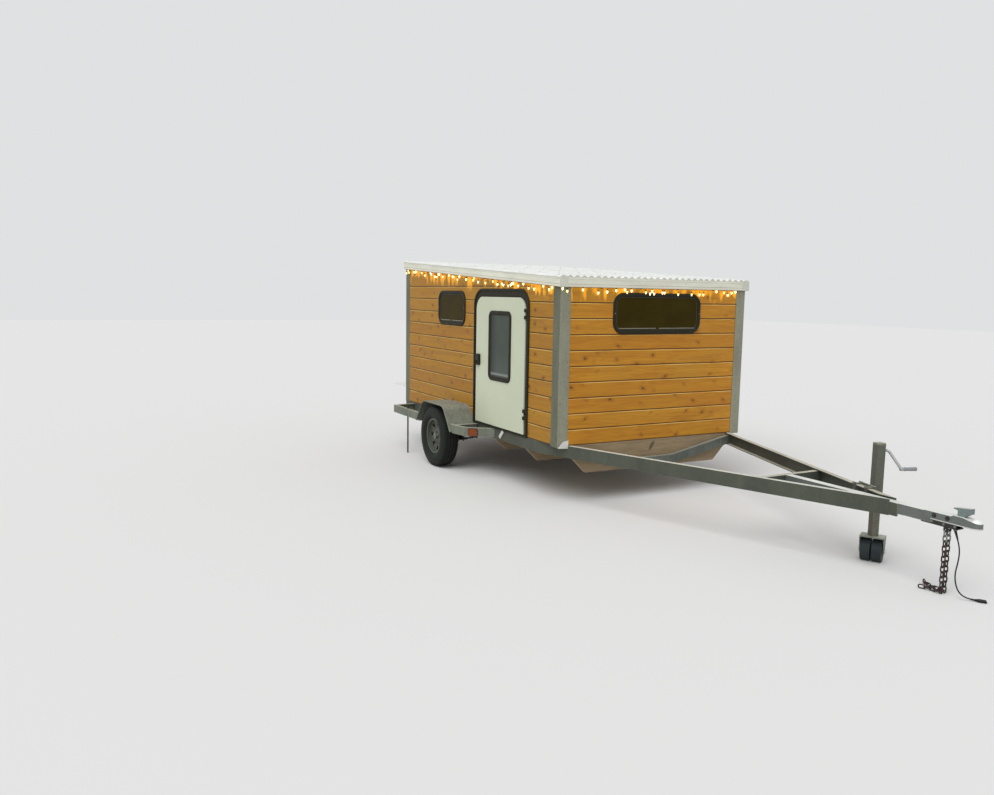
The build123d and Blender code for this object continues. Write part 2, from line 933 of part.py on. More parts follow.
# Side of the trailer, and the turn in degrees before each flat and upright pair on the ground
chain_table = ((1, (0, 18, 20)), (-1, (0, 20)))

places = []
for side, turns in chain_table:
    for k in range(chain_hang):
        spot = (chain_x, side * chain_half, top_link_z - k * link_pitch)
        places.append(link_place(spot, Vector(0, 0, 1), Vector(k % 2, 1 - k % 2, 0)))
    heading = 180
    joint = Vector(chain_x - ring_half_long + link_pitch / 2, side * chain_half, ground_link_z)
    for turn in turns:
        heading -= side * turn
        along = Vector(cos(radians(heading)), sin(radians(heading)), 0)
        turned_reach = link_corner * cos(pi / 6 - radians(turn)) + link_wire / 2 + link_clear
        if turn:
            joint -= along * (turned_reach - (ring_half_long - link_pitch / 2) * (1 + cos(radians(turn))))
        for across in (Vector(-along.Y, along.X, 0), Vector(0, 0, 1)):
            places.append(link_place(joint + along * link_pitch / 2, along, across))
            joint += along * link_pitch

with BuildPart() as safety_chains:
    with Locations(places):
        add(chain_link.part)
save(safety_chains, "safety_chains")

# Wiring lead: each bend's radius comes from its two runs
lead_radii = []
for before, corner, after in zip(lead_points, lead_points[1:], lead_points[2:]):
    half_turn = radians((corner - before).get_angle(after - corner) / 2)
    lead_radii.append(0.45 * min((corner - before).length, (after - corner).length) / tan(half_turn))
print("lead bend radii", [round(bend, 1) for bend in lead_radii])

with BuildPart() as wiring_lead:
    with BuildLine() as lead_path:
        FilletPolyline(*lead_points, radius=lead_radii)
    with BuildSketch(Plane(origin=lead_path.line @ 0, z_dir=lead_path.line % 0)):
        RegularPolygon(radius=lead_radius, side_count=lead_sides)
    sweep(path=lead_path.line)
print("lead length", round(lead_path.wire().length, 1), "volume", round(wiring_lead.part.volume, 1))
save(wiring_lead, "wiring_lead")

# Flat connector at the lead's end, lying on the ground
plug_wide = 32
plug_high = 12
plug_long = 34
plug_boot = 22
plug_run = lead_points[-1] - lead_points[-2]
plug_up = plug_run.cross(Vector(plug_run.Y, -plug_run.X, 0))
plug_side = Plane(origin=lead_points[-1], x_dir=plug_run, z_dir=plug_up)

with BuildPart() as wiring_plug:
    with BuildSketch(plug_side.offset(-plug_high / 2)):
        with BuildLine():
            Polyline(
                (0, lead_radius),
                (plug_boot, plug_wide / 2),
                (plug_boot + plug_long, plug_wide / 2),
                (plug_boot + plug_long, -plug_wide / 2),
                (plug_boot, -plug_wide / 2),
                (0, -lead_radius),
                close=True,
            )
        make_face()
    extrude(amount=plug_high)
save(wiring_plug, "wiring_plug")

# Fenders: one bent sheet each, open at the outer side
fender_reach = 290
fender_ahead = 25
fender_half_base = 416
fender_half_top = 245
fender_top = 148
fender_low = -80
fender_bend = 110
fender_thick = 3
fender_x = axle_x + fender_ahead
fender_lean = radians(37)


def fender_line(inset):
    """Side view of the fender's bent sheet, set in by a thickness."""
    top = base_z + fender_top - inset
    low = base_z + fender_low
    half_top = fender_half_top - inset * tan((pi / 2 - fender_lean) / 2)
    half_base = fender_half_base - inset / cos(fender_lean)
    return FilletPolyline(
        (fender_x - half_base, low),
        (fender_x - half_top, top),
        (fender_x + half_top, top),
        (fender_x + half_base, low),
        radius=fender_bend - inset,
    )


with BuildPart() as fenders:
    with BuildSketch(Plane.XZ.offset(half_width)):
        with BuildLine():
            outer = fender_line(0)
            inner = fender_line(fender_thick)
            Line(outer @ 0, inner @ 0)
            Line(outer @ 1, inner @ 1)
        make_face()
    extrude(amount=fender_reach)
    mirror(about=Plane.XZ)
    with BuildSketch(jamb_plane):
        add(
            arched_panel(
                door_frame_x,
                door_frame_z - seat_gap,
                door_frame_wide + 2 * seat_gap,
                door_frame_high + 2 * seat_gap,
                door_frame_radius + seat_gap,
            )
        )
    extrude(amount=frame_proud + seat_gap, mode=Mode.SUBTRACT)
save(fenders, "fenders")

# Drop stands: round rods that slide in sleeves inside the rear outriggers
stand_radius = 8
stand_sleeve = 12
stand_back = 2645
stand_rise = 20
stand_foot = 0.5

# Outriggers: angle bar from the rail round to each end of the fender, and a bar along each end.
# Routes in plan: distance ahead of the body's front, and outward from its side as a negative number
strap_thick = 6
strap_high = 80
strap_flange = 36
strap_drop = 12
strap_top = base_z - strap_drop
strap_front = ((-1530, -277), (-1254, -235), (-1076, 16))
strap_rear = ((-3059, 16), (-3010, -253), (-2215, -250))
bar_reach = 240


def rear_strap_reach(back):
    """How far the rear outrigger's long run stands out from the body's side."""
    (x_a, y_a), (x_b, y_b) = strap_rear[1:]
    return -y_a - (y_b - y_a) * (-back - x_a) / (x_b - x_a)


stand_reach = rear_strap_reach(stand_back) - strap_thick - seat_gap - stand_sleeve

with BuildPart() as outriggers:
    for route in (strap_front, strap_rear):
        for reach, deep in ((strap_thick, strap_high), (strap_flange, strap_thick)):
            with BuildSketch(Plane.XY.offset(strap_top)):
                with BuildLine():
                    Polyline(*[(front_x + x, y - half_width) for x, y in route])
                    offset(amount=reach, side=Side.LEFT)
                make_face()
            extrude(amount=-deep)
    for end in (-1, 1):
        x_bar = fender_x + end * (fender_half_base + 2 * seat_gap)
        for reach, deep in ((strap_thick, strap_high), (strap_flange, strap_thick)):
            with BuildSketch(Plane.XY.offset(strap_top)):
                with Locations((x_bar + end * reach / 2, -half_width - bar_reach / 2)):
                    Rectangle(reach, bar_reach)
            extrude(amount=-deep)
    with BuildSketch(Plane.XZ.offset(half_width)):
        with BuildLine():
            fender_edge = fender_line(-seat_gap)
            Line(fender_edge @ 0, fender_edge @ 1)
        make_face()
        with Locations(((fender_edge @ 0 + fender_edge @ 1).X / 2, base_z + fender_low - strap_high / 2)):
            Rectangle((fender_edge @ 1 - fender_edge @ 0).X, strap_high)
    extrude(amount=fender_reach, mode=Mode.SUBTRACT)
    with BuildSketch(Plane.XY.offset(strap_top)):
        with Locations((front_x - stand_back, -half_width - stand_reach)):
            Circle(stand_radius + running_gap)
    extrude(amount=-strap_thick, mode=Mode.SUBTRACT)
    split(bisect_by=Plane.XZ.offset(half_width), keep=Keep.TOP)
    mirror(about=Plane.XZ)
save(outriggers, "outriggers")

with BuildPart() as stand_sleeves:
    for side in (-1, 1):
        with BuildSketch(Plane.XY.offset(strap_top - strap_thick - seat_gap)):
            with Locations((front_x - stand_back, side * (half_width + stand_reach))):
                Circle(stand_sleeve)
                Circle(stand_radius + running_gap, mode=Mode.SUBTRACT)
        extrude(amount=strap_thick + seat_gap - strap_high)
save(stand_sleeves, "stand_sleeves")

for side, name in ((-1, "right"), (1, "left")):
    with BuildPart() as stand_rod:
        with BuildSketch(Plane.XY.offset(stand_foot)):
            with Locations((front_x - stand_back, side * (half_width + stand_reach))):
                Circle(stand_radius)
        extrude(amount=strap_top + stand_rise - stand_foot)
    save(stand_rod, "stand_rod_" + name)

# Axle, hung under two leaf springs
axle_z = tyre_radius
tyre_out = half_width + tyre_face
tyre_in = tyre_out - tyre_width
axle_end = tyre_in + 12
spindle_end = tyre_out - 60

with BuildPart() as axle:
    with BuildSketch(Plane.XZ):
        with Locations((axle_x, axle_z)):
            Rectangle(axle_tube, axle_tube)
    extrude(amount=axle_end, both=True)
    with BuildSketch(Plane.XZ):
        with Locations((axle_x, axle_z)):
            Circle(spindle_radius)
    extrude(amount=spindle_end, both=True)
save(axle, "axle")

spring_half = 330
spring_wide = 45
spring_leaf = 7
spring_arch = 56
spring_inset = 4
eye_radius = 14
hanger_thick = 6
hanger_wide = 60
spring_y = half_width - spring_inset - spring_wide / 2
spring_seat = axle_z - axle_tube / 2 - seat_gap
eye_z = spring_seat - spring_leaf / 2 + spring_arch

with BuildPart() as springs:
    for side in (-1, 1):
        with BuildSketch(Plane.XZ.offset(-side * spring_y)):
            for leaf, share in enumerate((1, 0.72, 0.45)):
                drop = leaf * spring_leaf
                half = spring_half * share
                rise = spring_arch * share**2
                with BuildLine():
                    ThreePointArc(
                        (axle_x - half, spring_seat - drop + rise),
                        (axle_x, spring_seat - drop),
                        (axle_x + half, spring_seat - drop + rise),
                    )
                    ThreePointArc(
                        (axle_x - half, spring_seat - spring_leaf - drop + rise),
                        (axle_x, spring_seat - spring_leaf - drop),
                        (axle_x + half, spring_seat - spring_leaf - drop + rise),
                    )
                    for end in (-1, 1):
                        Line(
                            (axle_x + end * half, spring_seat - drop + rise),
                            (axle_x + end * half, spring_seat - spring_leaf - drop + rise),
                        )
                make_face()
            with Locations((axle_x - spring_half, eye_z), (axle_x + spring_half, eye_z)):
                Circle(eye_radius)
        extrude(amount=spring_wide / 2, both=True)
save(springs, "springs")

hanger_drop = base_z - rail_height - eye_z + eye_radius

with BuildPart() as spring_hangers:
    for side in (-1, 1):
        for end in (-1, 1):
            for cheek in (-1, 1):
                y_face = side * spring_y + cheek * (spring_wide / 2 + hanger_thick / 2)
                with BuildSketch(Plane.XZ.offset(-y_face)):
                    with Locations((axle_x + end * spring_half, base_z - rail_height - hanger_drop / 2)):
                        Rectangle(hanger_wide, hanger_drop)
                extrude(amount=hanger_thick / 2, both=True)
save(spring_hangers, "spring_hangers")

# Wheels: steel rims with a spoked disc, and radial tyres
rim_lip = 30
rim_sheet = 4
disc_deep = 62
disc_thick = 6
disc_step = 14
disc_radius = 92
cap_radius = 32
cap_proud = 24
hub_wall = 12
sidewall_bulge = 240
shoulder_radius = 290
tread_edge = 24
spoke_count = 8
window_inner = 104
window_outer = 146
window_wide = 44
window_narrow = 22
window_lean = degrees(atan2(window_outer - window_inner, (window_wide - window_narrow) / 2))
tyre_mid = tyre_out - tyre_width / 2
bead_half = tyre_width / 2 - rim_lip
disc_out = tyre_width / 2 - disc_deep
hub_in = axle_end + moving_gap - tyre_mid
bore_end = spindle_end + running_gap - tyre_mid
bore_radius = spindle_radius + running_gap
axle_line = Axis((axle_x, 0, axle_z), (0, 1, 0))

# Half-sections: outward distance from the tyre's middle plane, and radius
tyre_half = (
    (bead_half, rim_bead),
    (bead_half, rim_radius),
    (tyre_width / 2, sidewall_bulge),
    (tyre_width / 2 - tread_edge / 2, shoulder_radius),
    (tyre_width / 2 - tread_edge, tyre_radius),
)
rim_section = (
    (-bead_half, rim_bead),
    (bead_half, rim_bead),
    (bead_half, rim_radius),
    (bead_half + rim_sheet, rim_radius),
    (bead_half + rim_sheet, rim_bead - rim_sheet),
    (disc_out, rim_bead - rim_sheet),
    (disc_out - disc_step, disc_radius),
    (disc_out, hub_radius),
    (disc_out, cap_radius),
    (disc_out + cap_proud, cap_radius),
    (disc_out + cap_proud, 0),
    (bore_end, 0),
    (bore_end, bore_radius),
    (hub_in, bore_radius),
    (hub_in, bore_radius + hub_wall),
    (disc_out - disc_step - disc_thick, bore_radius + hub_wall),
    (disc_out - disc_step - disc_thick, disc_radius),
    (disc_out - disc_thick, rim_bead - rim_sheet),
    (-bead_half, rim_bead - rim_sheet),
)

for side, name in ((-1, "right"), (1, "left")):
    wheel_plane = Plane(origin=(axle_x, side * tyre_mid, axle_z), x_dir=(0, side, 0), z_dir=(side, 0, 0))
    with BuildPart() as tyre:
        with BuildSketch(wheel_plane):
            with BuildLine():
                Polyline(*tyre_half, *[(-out, radius) for out, radius in reversed(tyre_half)], close=True)
            make_face()
        revolve(axis=axle_line)
    save(tyre, "tyre_" + name)

    with BuildPart() as rim:
        with BuildSketch(wheel_plane):
            with BuildLine():
                Polyline(*rim_section, close=True)
            make_face()
        revolve(axis=axle_line)
        with BuildSketch(Plane.XZ.offset(-side * (tyre_mid + disc_out - 2 * disc_step))):
            with Locations((axle_x, axle_z)):
                with PolarLocations((window_inner + window_outer) / 2, spoke_count):
                    Trapezoid(window_wide, window_outer - window_inner, window_lean, rotation=90)
        extrude(amount=-side * 3 * disc_step, mode=Mode.SUBTRACT)
    save(rim, "rim_" + name)

# Tongue jack, clamped to the outer face of the left rail and turned with it
jack_station = 2105
jack_tube_size = 57
jack_tube_wall = 4
jack_leg_size = 48
jack_leg_wall = 4
jack_stand_off = 12
jack_tube_low = -115
jack_tube_high = 298
jack_leg_low = 172
jack_leg_high = 560
rail_angle = degrees(atan2(rail_slope, 1))
rail_out = (sin(radians(rail_angle)), cos(radians(rail_angle)))
jack_web_x = front_x + jack_station
jack_reach = jack_stand_off + jack_tube_size / 2
jack_x = jack_web_x + rail_out[0] * jack_reach
jack_y = rail_face(jack_web_x) + rail_out[1] * jack_reach
jack_plane = Plane(origin=(jack_x, jack_y, 0), x_dir=(rail_out[1], -rail_out[0], 0), z_dir=(0, 0, 1))

with BuildPart() as jack_tube:
    with BuildSketch(jack_plane.offset(base_z + jack_tube_low)):
        Rectangle(jack_tube_size, jack_tube_size)
        Rectangle(
            jack_tube_size - 2 * jack_tube_wall, jack_tube_size - 2 * jack_tube_wall, mode=Mode.SUBTRACT
        )
    extrude(amount=jack_tube_high - jack_tube_low)
    with BuildSketch(jack_plane.offset(base_z + jack_tube_high)):
        Rectangle(jack_tube_size, jack_tube_size)
    extrude(amount=jack_tube_wall)
save(jack_tube, "jack_tube")

# Clamp: a plate behind the tube, four bolts over and under the rail, and two straps inside it
clamp_back = -136
clamp_front = 44
clamp_low = -120
clamp_high = 18
clamp_bolt = 6
clamp_bolt_clear = 2
clamp_bolt_end = 16
clamp_strap = 25
clamp_strap_thick = 6
clamp_stations = (-117, 18)
clamp_web = -jack_tube_size / 2 - jack_stand_off
clamp_inside = clamp_web - rail_flange - seat_gap

with BuildPart() as jack_bracket:
    with BuildSketch(jack_plane.offset(base_z + clamp_low)):
        with Locations(((clamp_back + clamp_front) / 2, clamp_web + jack_stand_off / 2)):
            Rectangle(clamp_front - clamp_back, jack_stand_off)
    extrude(amount=clamp_high - clamp_low)
    for station in clamp_stations:
        with BuildSketch(jack_plane.offset(base_z + clamp_low)):
            with Locations((station, clamp_inside - clamp_strap_thick / 2)):
                Rectangle(clamp_strap, clamp_strap_thick)
        extrude(amount=clamp_high - clamp_low)
        bolt_rise = clamp_bolt + clamp_bolt_clear
        for bolt_z in (base_z + bolt_rise, base_z - rail_height - bolt_rise):
            bolt_start = jack_plane.from_local_coords((station, clamp_inside - clamp_bolt_end, bolt_z))
            with BuildSketch(Plane(origin=bolt_start, z_dir=jack_plane.y_dir)):
                RegularPolygon(radius=clamp_bolt, side_count=6)
            extrude(amount=clamp_web + jack_stand_off - clamp_inside + clamp_bolt_end)
save(jack_bracket, "jack_bracket")

crank_radius = 7
crank_sides = 8
crank_drop = 46
crank_stub = 38
crank_forward = 149
crank_fall = 96
grip_radius = 13
grip_long = 119
grip_inset = 22
crank_z = base_z + jack_tube_high - crank_drop
crank_start = jack_tube_size / 2
crank_table = (
    (0, crank_start, crank_z),
    (0, crank_start + crank_stub, crank_z),
    (crank_forward, crank_start + crank_stub, crank_z - crank_fall),
    (crank_forward, crank_start + crank_stub + grip_long, crank_z - crank_fall),
)

with BuildPart() as jack_crank:
    with BuildLine() as crank_path:
        FilletPolyline(*[jack_plane.from_local_coords(spot) for spot in crank_table], radius=2 * crank_radius)
    with BuildSketch(Plane(origin=crank_path.line @ 0, z_dir=crank_path.line % 0)):
        RegularPolygon(radius=crank_radius, side_count=crank_sides)
    sweep(path=crank_path.line)
    with BuildSketch(Plane(origin=crank_path.line @ 1, z_dir=crank_path.line % 1)):
        Circle(grip_radius)
    extrude(amount=grip_inset - grip_long)
save(jack_crank, "jack_crank")

# Caster: two wheels on one pin in an inverted U-shaped fork, turned as it stands
caster_radius = 75
caster_wide = 60
caster_gap = 10
caster_pin = 8
caster_pin_end = 5
caster_turn = 29
stem_radius = 12
stem_high = 30
fork_top = jack_leg_low - running_gap
fork_plate = 8
fork_cheek = 5
fork_long = 100
fork_tip = 40
fork_half = caster_gap / 2 + caster_wide + moving_gap + fork_cheek
caster_axis = Vector(cos(radians(caster_turn)), sin(radians(caster_turn)), 0)
caster_plane = Plane(origin=(jack_x, jack_y, 0), x_dir=caster_axis, z_dir=(0, 0, 1))

with BuildPart() as jack_leg:
    with BuildSketch(jack_plane.offset(jack_leg_low)):
        Rectangle(jack_leg_size, jack_leg_size)
        Rectangle(jack_leg_size - 2 * jack_leg_wall, jack_leg_size - 2 * jack_leg_wall, mode=Mode.SUBTRACT)
    extrude(amount=jack_leg_high - jack_leg_low)
    with BuildSketch(jack_plane.offset(jack_leg_low)):
        Rectangle(jack_leg_size - jack_leg_wall, jack_leg_size - jack_leg_wall)
        Circle(stem_radius + running_gap, mode=Mode.SUBTRACT)
    extrude(amount=stem_high)
save(jack_leg, "jack_leg")

with BuildPart() as caster_fork:
    with BuildSketch(caster_plane.offset(fork_top)):
        Rectangle(2 * fork_half, fork_long)
    extrude(amount=-fork_plate)
    with BuildSketch(caster_plane.offset(fork_top)):
        Circle(stem_radius)
    extrude(amount=stem_high)
    for side in (-1, 1):
        cheek_spot = caster_plane.from_local_coords((side * fork_half, 0, 0))
        with BuildSketch(Plane(origin=cheek_spot, x_dir=caster_plane.y_dir, z_dir=caster_axis)):
            with BuildLine():
                Polyline(
                    (-fork_long / 2, fork_top - fork_plate),
                    (-fork_tip / 2, caster_radius - fork_tip / 2),
                    (fork_tip / 2, caster_radius - fork_tip / 2),
                    (fork_long / 2, fork_top - fork_plate),
                    close=True,
                )
            make_face()
        extrude(amount=-side * fork_cheek)
    pin_spot = caster_plane.from_local_coords((0, 0, caster_radius))
    with BuildSketch(Plane(origin=pin_spot, z_dir=caster_axis)):
        Circle(caster_pin)
    extrude(amount=fork_half + caster_pin_end, both=True)
save(caster_fork, "caster_fork")

with BuildPart() as caster_wheels:
    for side in (-1, 1):
        wheel_spot = caster_plane.from_local_coords((side * caster_gap / 2, 0, caster_radius))
        with BuildSketch(Plane(origin=wheel_spot, z_dir=caster_axis * side)):
            Circle(caster_radius)
            Circle(caster_pin + running_gap, mode=Mode.SUBTRACT)
        extrude(amount=caster_wide)
save(caster_wheels, "caster_wheels")

# Rear shelf: a board across the rear wall, clear of the posts, on three gussets
shelf_top = base_z + shelf_drop
shelf_gap = post_thick + seat_gap
gusset_thick = 6
gusset_size = 150
gusset_inset = 150

with BuildPart() as rear_shelf:
    with BuildSketch(Plane.XY.offset(shelf_top)):
        with Locations((rear_x - (shelf_depth + shelf_gap) / 2, 0)):
            Rectangle(shelf_depth - shelf_gap, body_width)
    extrude(amount=-shelf_thick)
    for y_mid in (gusset_inset - half_width, 0, half_width - gusset_inset):
        with BuildSketch(Plane.XZ.offset(-y_mid)):
            with BuildLine():
                Polyline(
                    (rear_x, shelf_top - shelf_thick),
                    (rear_x - gusset_size, shelf_top - shelf_thick),
                    (rear_x, shelf_top - shelf_thick - gusset_size),
                    close=True,
                )
            make_face()
        extrude(amount=gusset_thick / 2, both=True)
save(rear_shelf, "rear_shelf")

# Lamps: amber markers on the front outriggers, red lamps at the rear corners
lamp_wide = 86
lamp_high = 62
lamp_thick = 22
lamp_corner = 8
tail_lamp_wide = 110
tail_lamp_high = 70
tail_lamp_thick = 40
marker_share = 0.27
tail_share = 0.5


def strap_face(run, share, side, depth):
    """Plane on one run of an outrigger, a share of the way along it, facing outward."""
    start, end = [Vector(front_x + x, y - half_width) for x, y in run]
    along = (end - start).normalized()
    outward = Vector(along.Y, -along.X)
    spot = start + (end - start) * share + outward * depth
    return Plane(
        origin=(spot.X, -side * spot.Y, strap_top - strap_high / 2),
        x_dir=(along.X, -side * along.Y, 0),
        z_dir=(outward.X, -side * outward.Y, 0),
    )


with BuildPart() as marker_lamps:
    for side in (-1, 1):
        with BuildSketch(strap_face(strap_front[1:], marker_share, side, 0)):
            RectangleRounded(lamp_wide, lamp_high, lamp_corner)
        extrude(amount=lamp_thick)
save(marker_lamps, "marker_lamps")

with BuildPart() as tail_lamps:
    for side in (-1, 1):
        with BuildSketch(strap_face(strap_rear[:2], tail_share, side, 0)):
            Rectangle(tail_lamp_wide, tail_lamp_high)
        extrude(amount=tail_lamp_thick)
save(tail_lamps, "tail_lamps")

# String-light wire, clipped all the way round under the fascia
wire_radius = 2
wire_sides = 6
wire_out = 12
wire_start = 90
clip_wide = 12
clip_high = 8
clip_count = 5


def wire_spot(x, y):
    """Point of the wire's route, just under the fascia."""
    return (x, y, roof_line(x) - wire_radius - running_gap)


wire_front = front_x + wire_out
wire_rear = rear_x - wire_out
wire_side = half_width + wire_out
wire_corners = [
    wire_spot(wire_rear, wire_side - wire_start),
    wire_spot(wire_rear, -wire_side),
    wire_spot(wire_front, -wire_side),
    wire_spot(wire_front, wire_side),
    wire_spot(wire_rear + wire_start, wire_side),
]

with BuildPart() as string_light_wire:
    with BuildLine() as wire_path:
        Polyline(*wire_corners)
    with BuildSketch(Plane(origin=wire_path.line @ 0, z_dir=wire_path.line % 0)):
        RegularPolygon(radius=wire_radius, side_count=wire_sides)
    sweep(path=wire_path.line, transition=Transition.RIGHT)
    for start, end in zip(wire_corners, wire_corners[1:]):
        for k in range(1, clip_count):
            spot = Vector(*start) + (Vector(*end) - Vector(*start)) * (k / clip_count)
            with Locations((spot.X, spot.Y, spot.Z + wire_radius - seat_gap - clip_high / 2)):
                Box(clip_wide, clip_wide, clip_high)
save(string_light_wire, "string_light_wire")
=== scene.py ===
from math import atan2, cos, hypot, pi, radians, sin, sqrt

import bpy
import bmesh
import numpy as np
from mathutils import Matrix, Vector


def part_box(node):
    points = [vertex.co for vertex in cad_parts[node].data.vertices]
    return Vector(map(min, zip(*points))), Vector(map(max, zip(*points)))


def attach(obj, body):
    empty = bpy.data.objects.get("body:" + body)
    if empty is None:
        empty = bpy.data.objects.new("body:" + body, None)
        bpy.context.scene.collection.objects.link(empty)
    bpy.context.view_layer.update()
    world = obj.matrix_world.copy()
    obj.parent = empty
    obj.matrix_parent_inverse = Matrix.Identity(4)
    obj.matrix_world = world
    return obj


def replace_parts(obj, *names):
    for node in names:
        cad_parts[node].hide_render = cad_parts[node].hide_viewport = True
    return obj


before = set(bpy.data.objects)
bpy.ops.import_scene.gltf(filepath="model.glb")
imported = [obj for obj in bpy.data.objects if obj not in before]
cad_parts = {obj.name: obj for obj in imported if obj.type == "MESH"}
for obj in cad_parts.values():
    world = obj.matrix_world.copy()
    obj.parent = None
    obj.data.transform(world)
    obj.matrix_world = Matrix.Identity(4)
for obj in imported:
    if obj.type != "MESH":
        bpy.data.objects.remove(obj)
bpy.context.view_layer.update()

# Photograph's frame and the camera solved from it
photo_width = 994
focal_pixels = 834.5
sensor_width = 36.0
camera_spot = Vector((6.0301, -4.6044, 1.7192))
camera_forward = Vector((-0.8744, 0.4696, -0.1222))
camera_right = Vector((0.4713, 0.8818, 0.0158))


def add_camera():
    """Camera at the photograph's viewpoint, from its solved axes."""
    lens = bpy.data.cameras.new("photo_camera")
    lens.sensor_fit = "HORIZONTAL"
    lens.sensor_width = sensor_width
    lens.lens = focal_pixels / photo_width * sensor_width
    lens.clip_end = 200
    camera = bpy.data.objects.new("photo_camera", lens)
    bpy.context.scene.collection.objects.link(camera)
    forward = camera_forward.normalized()
    right = (camera_right - forward * camera_right.dot(forward)).normalized()
    up = right.cross(forward)
    turn = Matrix((right, up, -forward)).transposed()
    camera.matrix_world = Matrix.Translation(camera_spot) @ turn.to_4x4()
    bpy.context.scene.camera = camera


add_camera()

# Driving sizes, read from the solids
wall_low, wall_high = np.array(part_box("right_wall"))
front_x = wall_high[0]
rear_x = wall_low[0]
half_width = -wall_low[1]
base_z = wall_low[2]
front_top = base_z + 1.3
roof_slope = (wall_high[2] - front_top) / (front_x - rear_x)
board_pitch = 0.13


def middle(node):
    """Centre of a solid's box."""
    low, high = np.array(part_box(node))
    return (low + high) / 2


def eave_level(x):
    """Height of the sloping eave at a place along the trailer."""
    return front_top + (front_x - x) * roof_slope


# Shells: points, and faces as arrays of corner numbers


def ring_shell(rings, looped=False):
    """Skin over closed rings of points, rows by corners: each face joins four neighbours.

    The first and last rings are filled, or joined to each other where the skin is looped."""
    rings = np.array(rings, float)
    rows, corners = rings.shape[:2]
    number = np.arange(rows * corners).reshape(rows, corners)
    below = number if looped else number[:-1]
    above = np.roll(number, -1, axis=0) if looped else number[1:]
    sides = np.stack((below, np.roll(below, -1, 1), np.roll(above, -1, 1), above), axis=-1)
    faces = [sides.reshape(-1, 4)]
    if not looped:
        faces += [number[:1, ::-1], number[-1:]]
    return rings.reshape(-1, 3), faces


def gathered(shells):
    """Several shells as one: each one's corner numbers follow the points before it."""
    start = 0
    points = []
    faces = []
    for spots, patches in shells:
        points.append(spots)
        faces += [patch + start for patch in patches]
        start += len(spots)
    return np.concatenate(points), faces


def placed(shell, spot=(0, 0, 0), along=(1, 0, 0), up=(0, 0, 1)):
    """A shell moved so that its own X axis points along, its Z axis up, and its origin is the spot."""
    x_axis = np.array(along, float)
    x_axis /= np.linalg.norm(x_axis)
    z_axis = np.array(up, float)
    z_axis -= x_axis * z_axis.dot(x_axis)
    z_axis /= np.linalg.norm(z_axis)
    turn = np.array((x_axis, np.cross(z_axis, x_axis), z_axis))
    return shell[0] @ turn + np.array(spot, float), shell[1]


def on_side(shell, spot, side):
    """A shell placed with its Z axis pointing out of one side of the trailer: 1 left, -1 right."""
    return placed(shell, spot, (1, 0, 0), (0, side, 0))


def shifted(shell, spot):
    """A shell moved to a spot."""
    return shell[0] + spot, shell[1]


def copies(shell, spots):
    """One shell repeated at each spot."""
    return gathered([shifted(shell, spot) for spot in spots])


def circle(radius, count, start=0.0):
    """Points of a circle as (x, y), in even steps from a starting angle."""
    angle = start + np.linspace(0, 2 * pi, count, endpoint=False)
    return radius * np.column_stack((np.cos(angle), np.sin(angle)))


def raised(outline, level):
    """A flat outline of (x, y) as points at a level."""
    return np.column_stack((outline, np.full(len(outline), level)))


def lathe(profile, steps, looped=False):
    """A profile of (radius, height) turned round Z in even steps."""
    profile = np.array(profile, float)
    angle = np.linspace(0, 2 * pi, steps, endpoint=False)
    radius = profile[:, :1]
    height = np.broadcast_to(profile[:, 1:], (len(profile), steps))
    rings = np.stack((radius * np.cos(angle), radius * np.sin(angle), height), axis=-1)
    return ring_shell(rings, looped=looped)


def block(length, width, height, edge=0.002):
    """A bar standing on its origin: an eight-cornered outline drawn in at both ends by its edge."""
    x, y = length / 2, width / 2
    outline = np.array(
        ((x - edge, y), (edge - x, y), (-x, y - edge), (-x, edge - y))
        + ((edge - x, -y), (x - edge, -y), (x, edge - y), (x, y - edge))
    )
    shrink = 1 - np.array((1, 0, 0, 1))[:, None, None] * edge / np.array((x, y))
    flat = outline[None] * shrink
    levels = np.array((0, edge, height - edge, height))[:, None, None]
    rings = np.concatenate((flat, np.broadcast_to(levels, (4, 8, 1))), axis=-1)
    return ring_shell(rings)


def plate(outline, thick, edge=0.001):
    """A flat plate on its origin's level: the outline, drawn in a little at both faces."""
    outline = np.array(outline, float)
    centre = outline.mean(axis=0)
    reach = np.abs(outline - centre).max()
    share = 1 - np.array((1, 0, 0, 1)) * edge / reach
    flat = centre + (outline - centre)[None] * share[:, None, None]
    levels = np.array((0, edge, thick - edge, thick))[:, None, None]
    rings = np.concatenate((flat, np.broadcast_to(levels, flat.shape[:2] + (1,))), axis=-1)
    return ring_shell(rings)


def tube(path, radius, sides=8, looped=False):
    """A circle carried along a path: each ring stands across the line between its neighbours."""
    path = np.array(path, float)
    if looped:
        heading = np.roll(path, -1, 0) - np.roll(path, 1, 0)
    else:
        heading = np.gradient(path, axis=0)
    heading /= np.linalg.norm(heading, axis=1)[:, None]
    helper = np.array((0.31, 0.17, 0.94))
    across = np.cross(heading, helper)
    across /= np.linalg.norm(across, axis=1)[:, None]
    over = np.cross(heading, across)
    angle = np.linspace(0, 2 * pi, sides, endpoint=False)[None, :, None]
    radius = np.broadcast_to(radius, len(path))[:, None, None]
    rings = path[:, None] + radius * (across[:, None] * np.cos(angle) + over[:, None] * np.sin(angle))
    return ring_shell(rings, looped=looped)


def hexagon_bolt(across_flats, height):
    """A hexagonal head: six corners with a turned-off top, on a round washer."""
    radius = across_flats / sqrt(3)
    head = lathe(((radius, 0), (radius, height * 0.8), (radius * 0.86, height)), 6)
    washer_profile = ((radius * 1.25, 0), (radius * 1.25, height * 0.2), (radius * 1.1, height * 0.25))
    return gathered([head, lathe(washer_profile, 16)])


def screw_head(radius):
    """A pan head: three rings that close in over a quarter circle."""
    lift = np.linspace(0, pi / 2 * 0.92, 4)
    return lathe(np.stack((radius * np.cos(lift), radius * 0.5 * np.sin(lift)), axis=-1), 10)


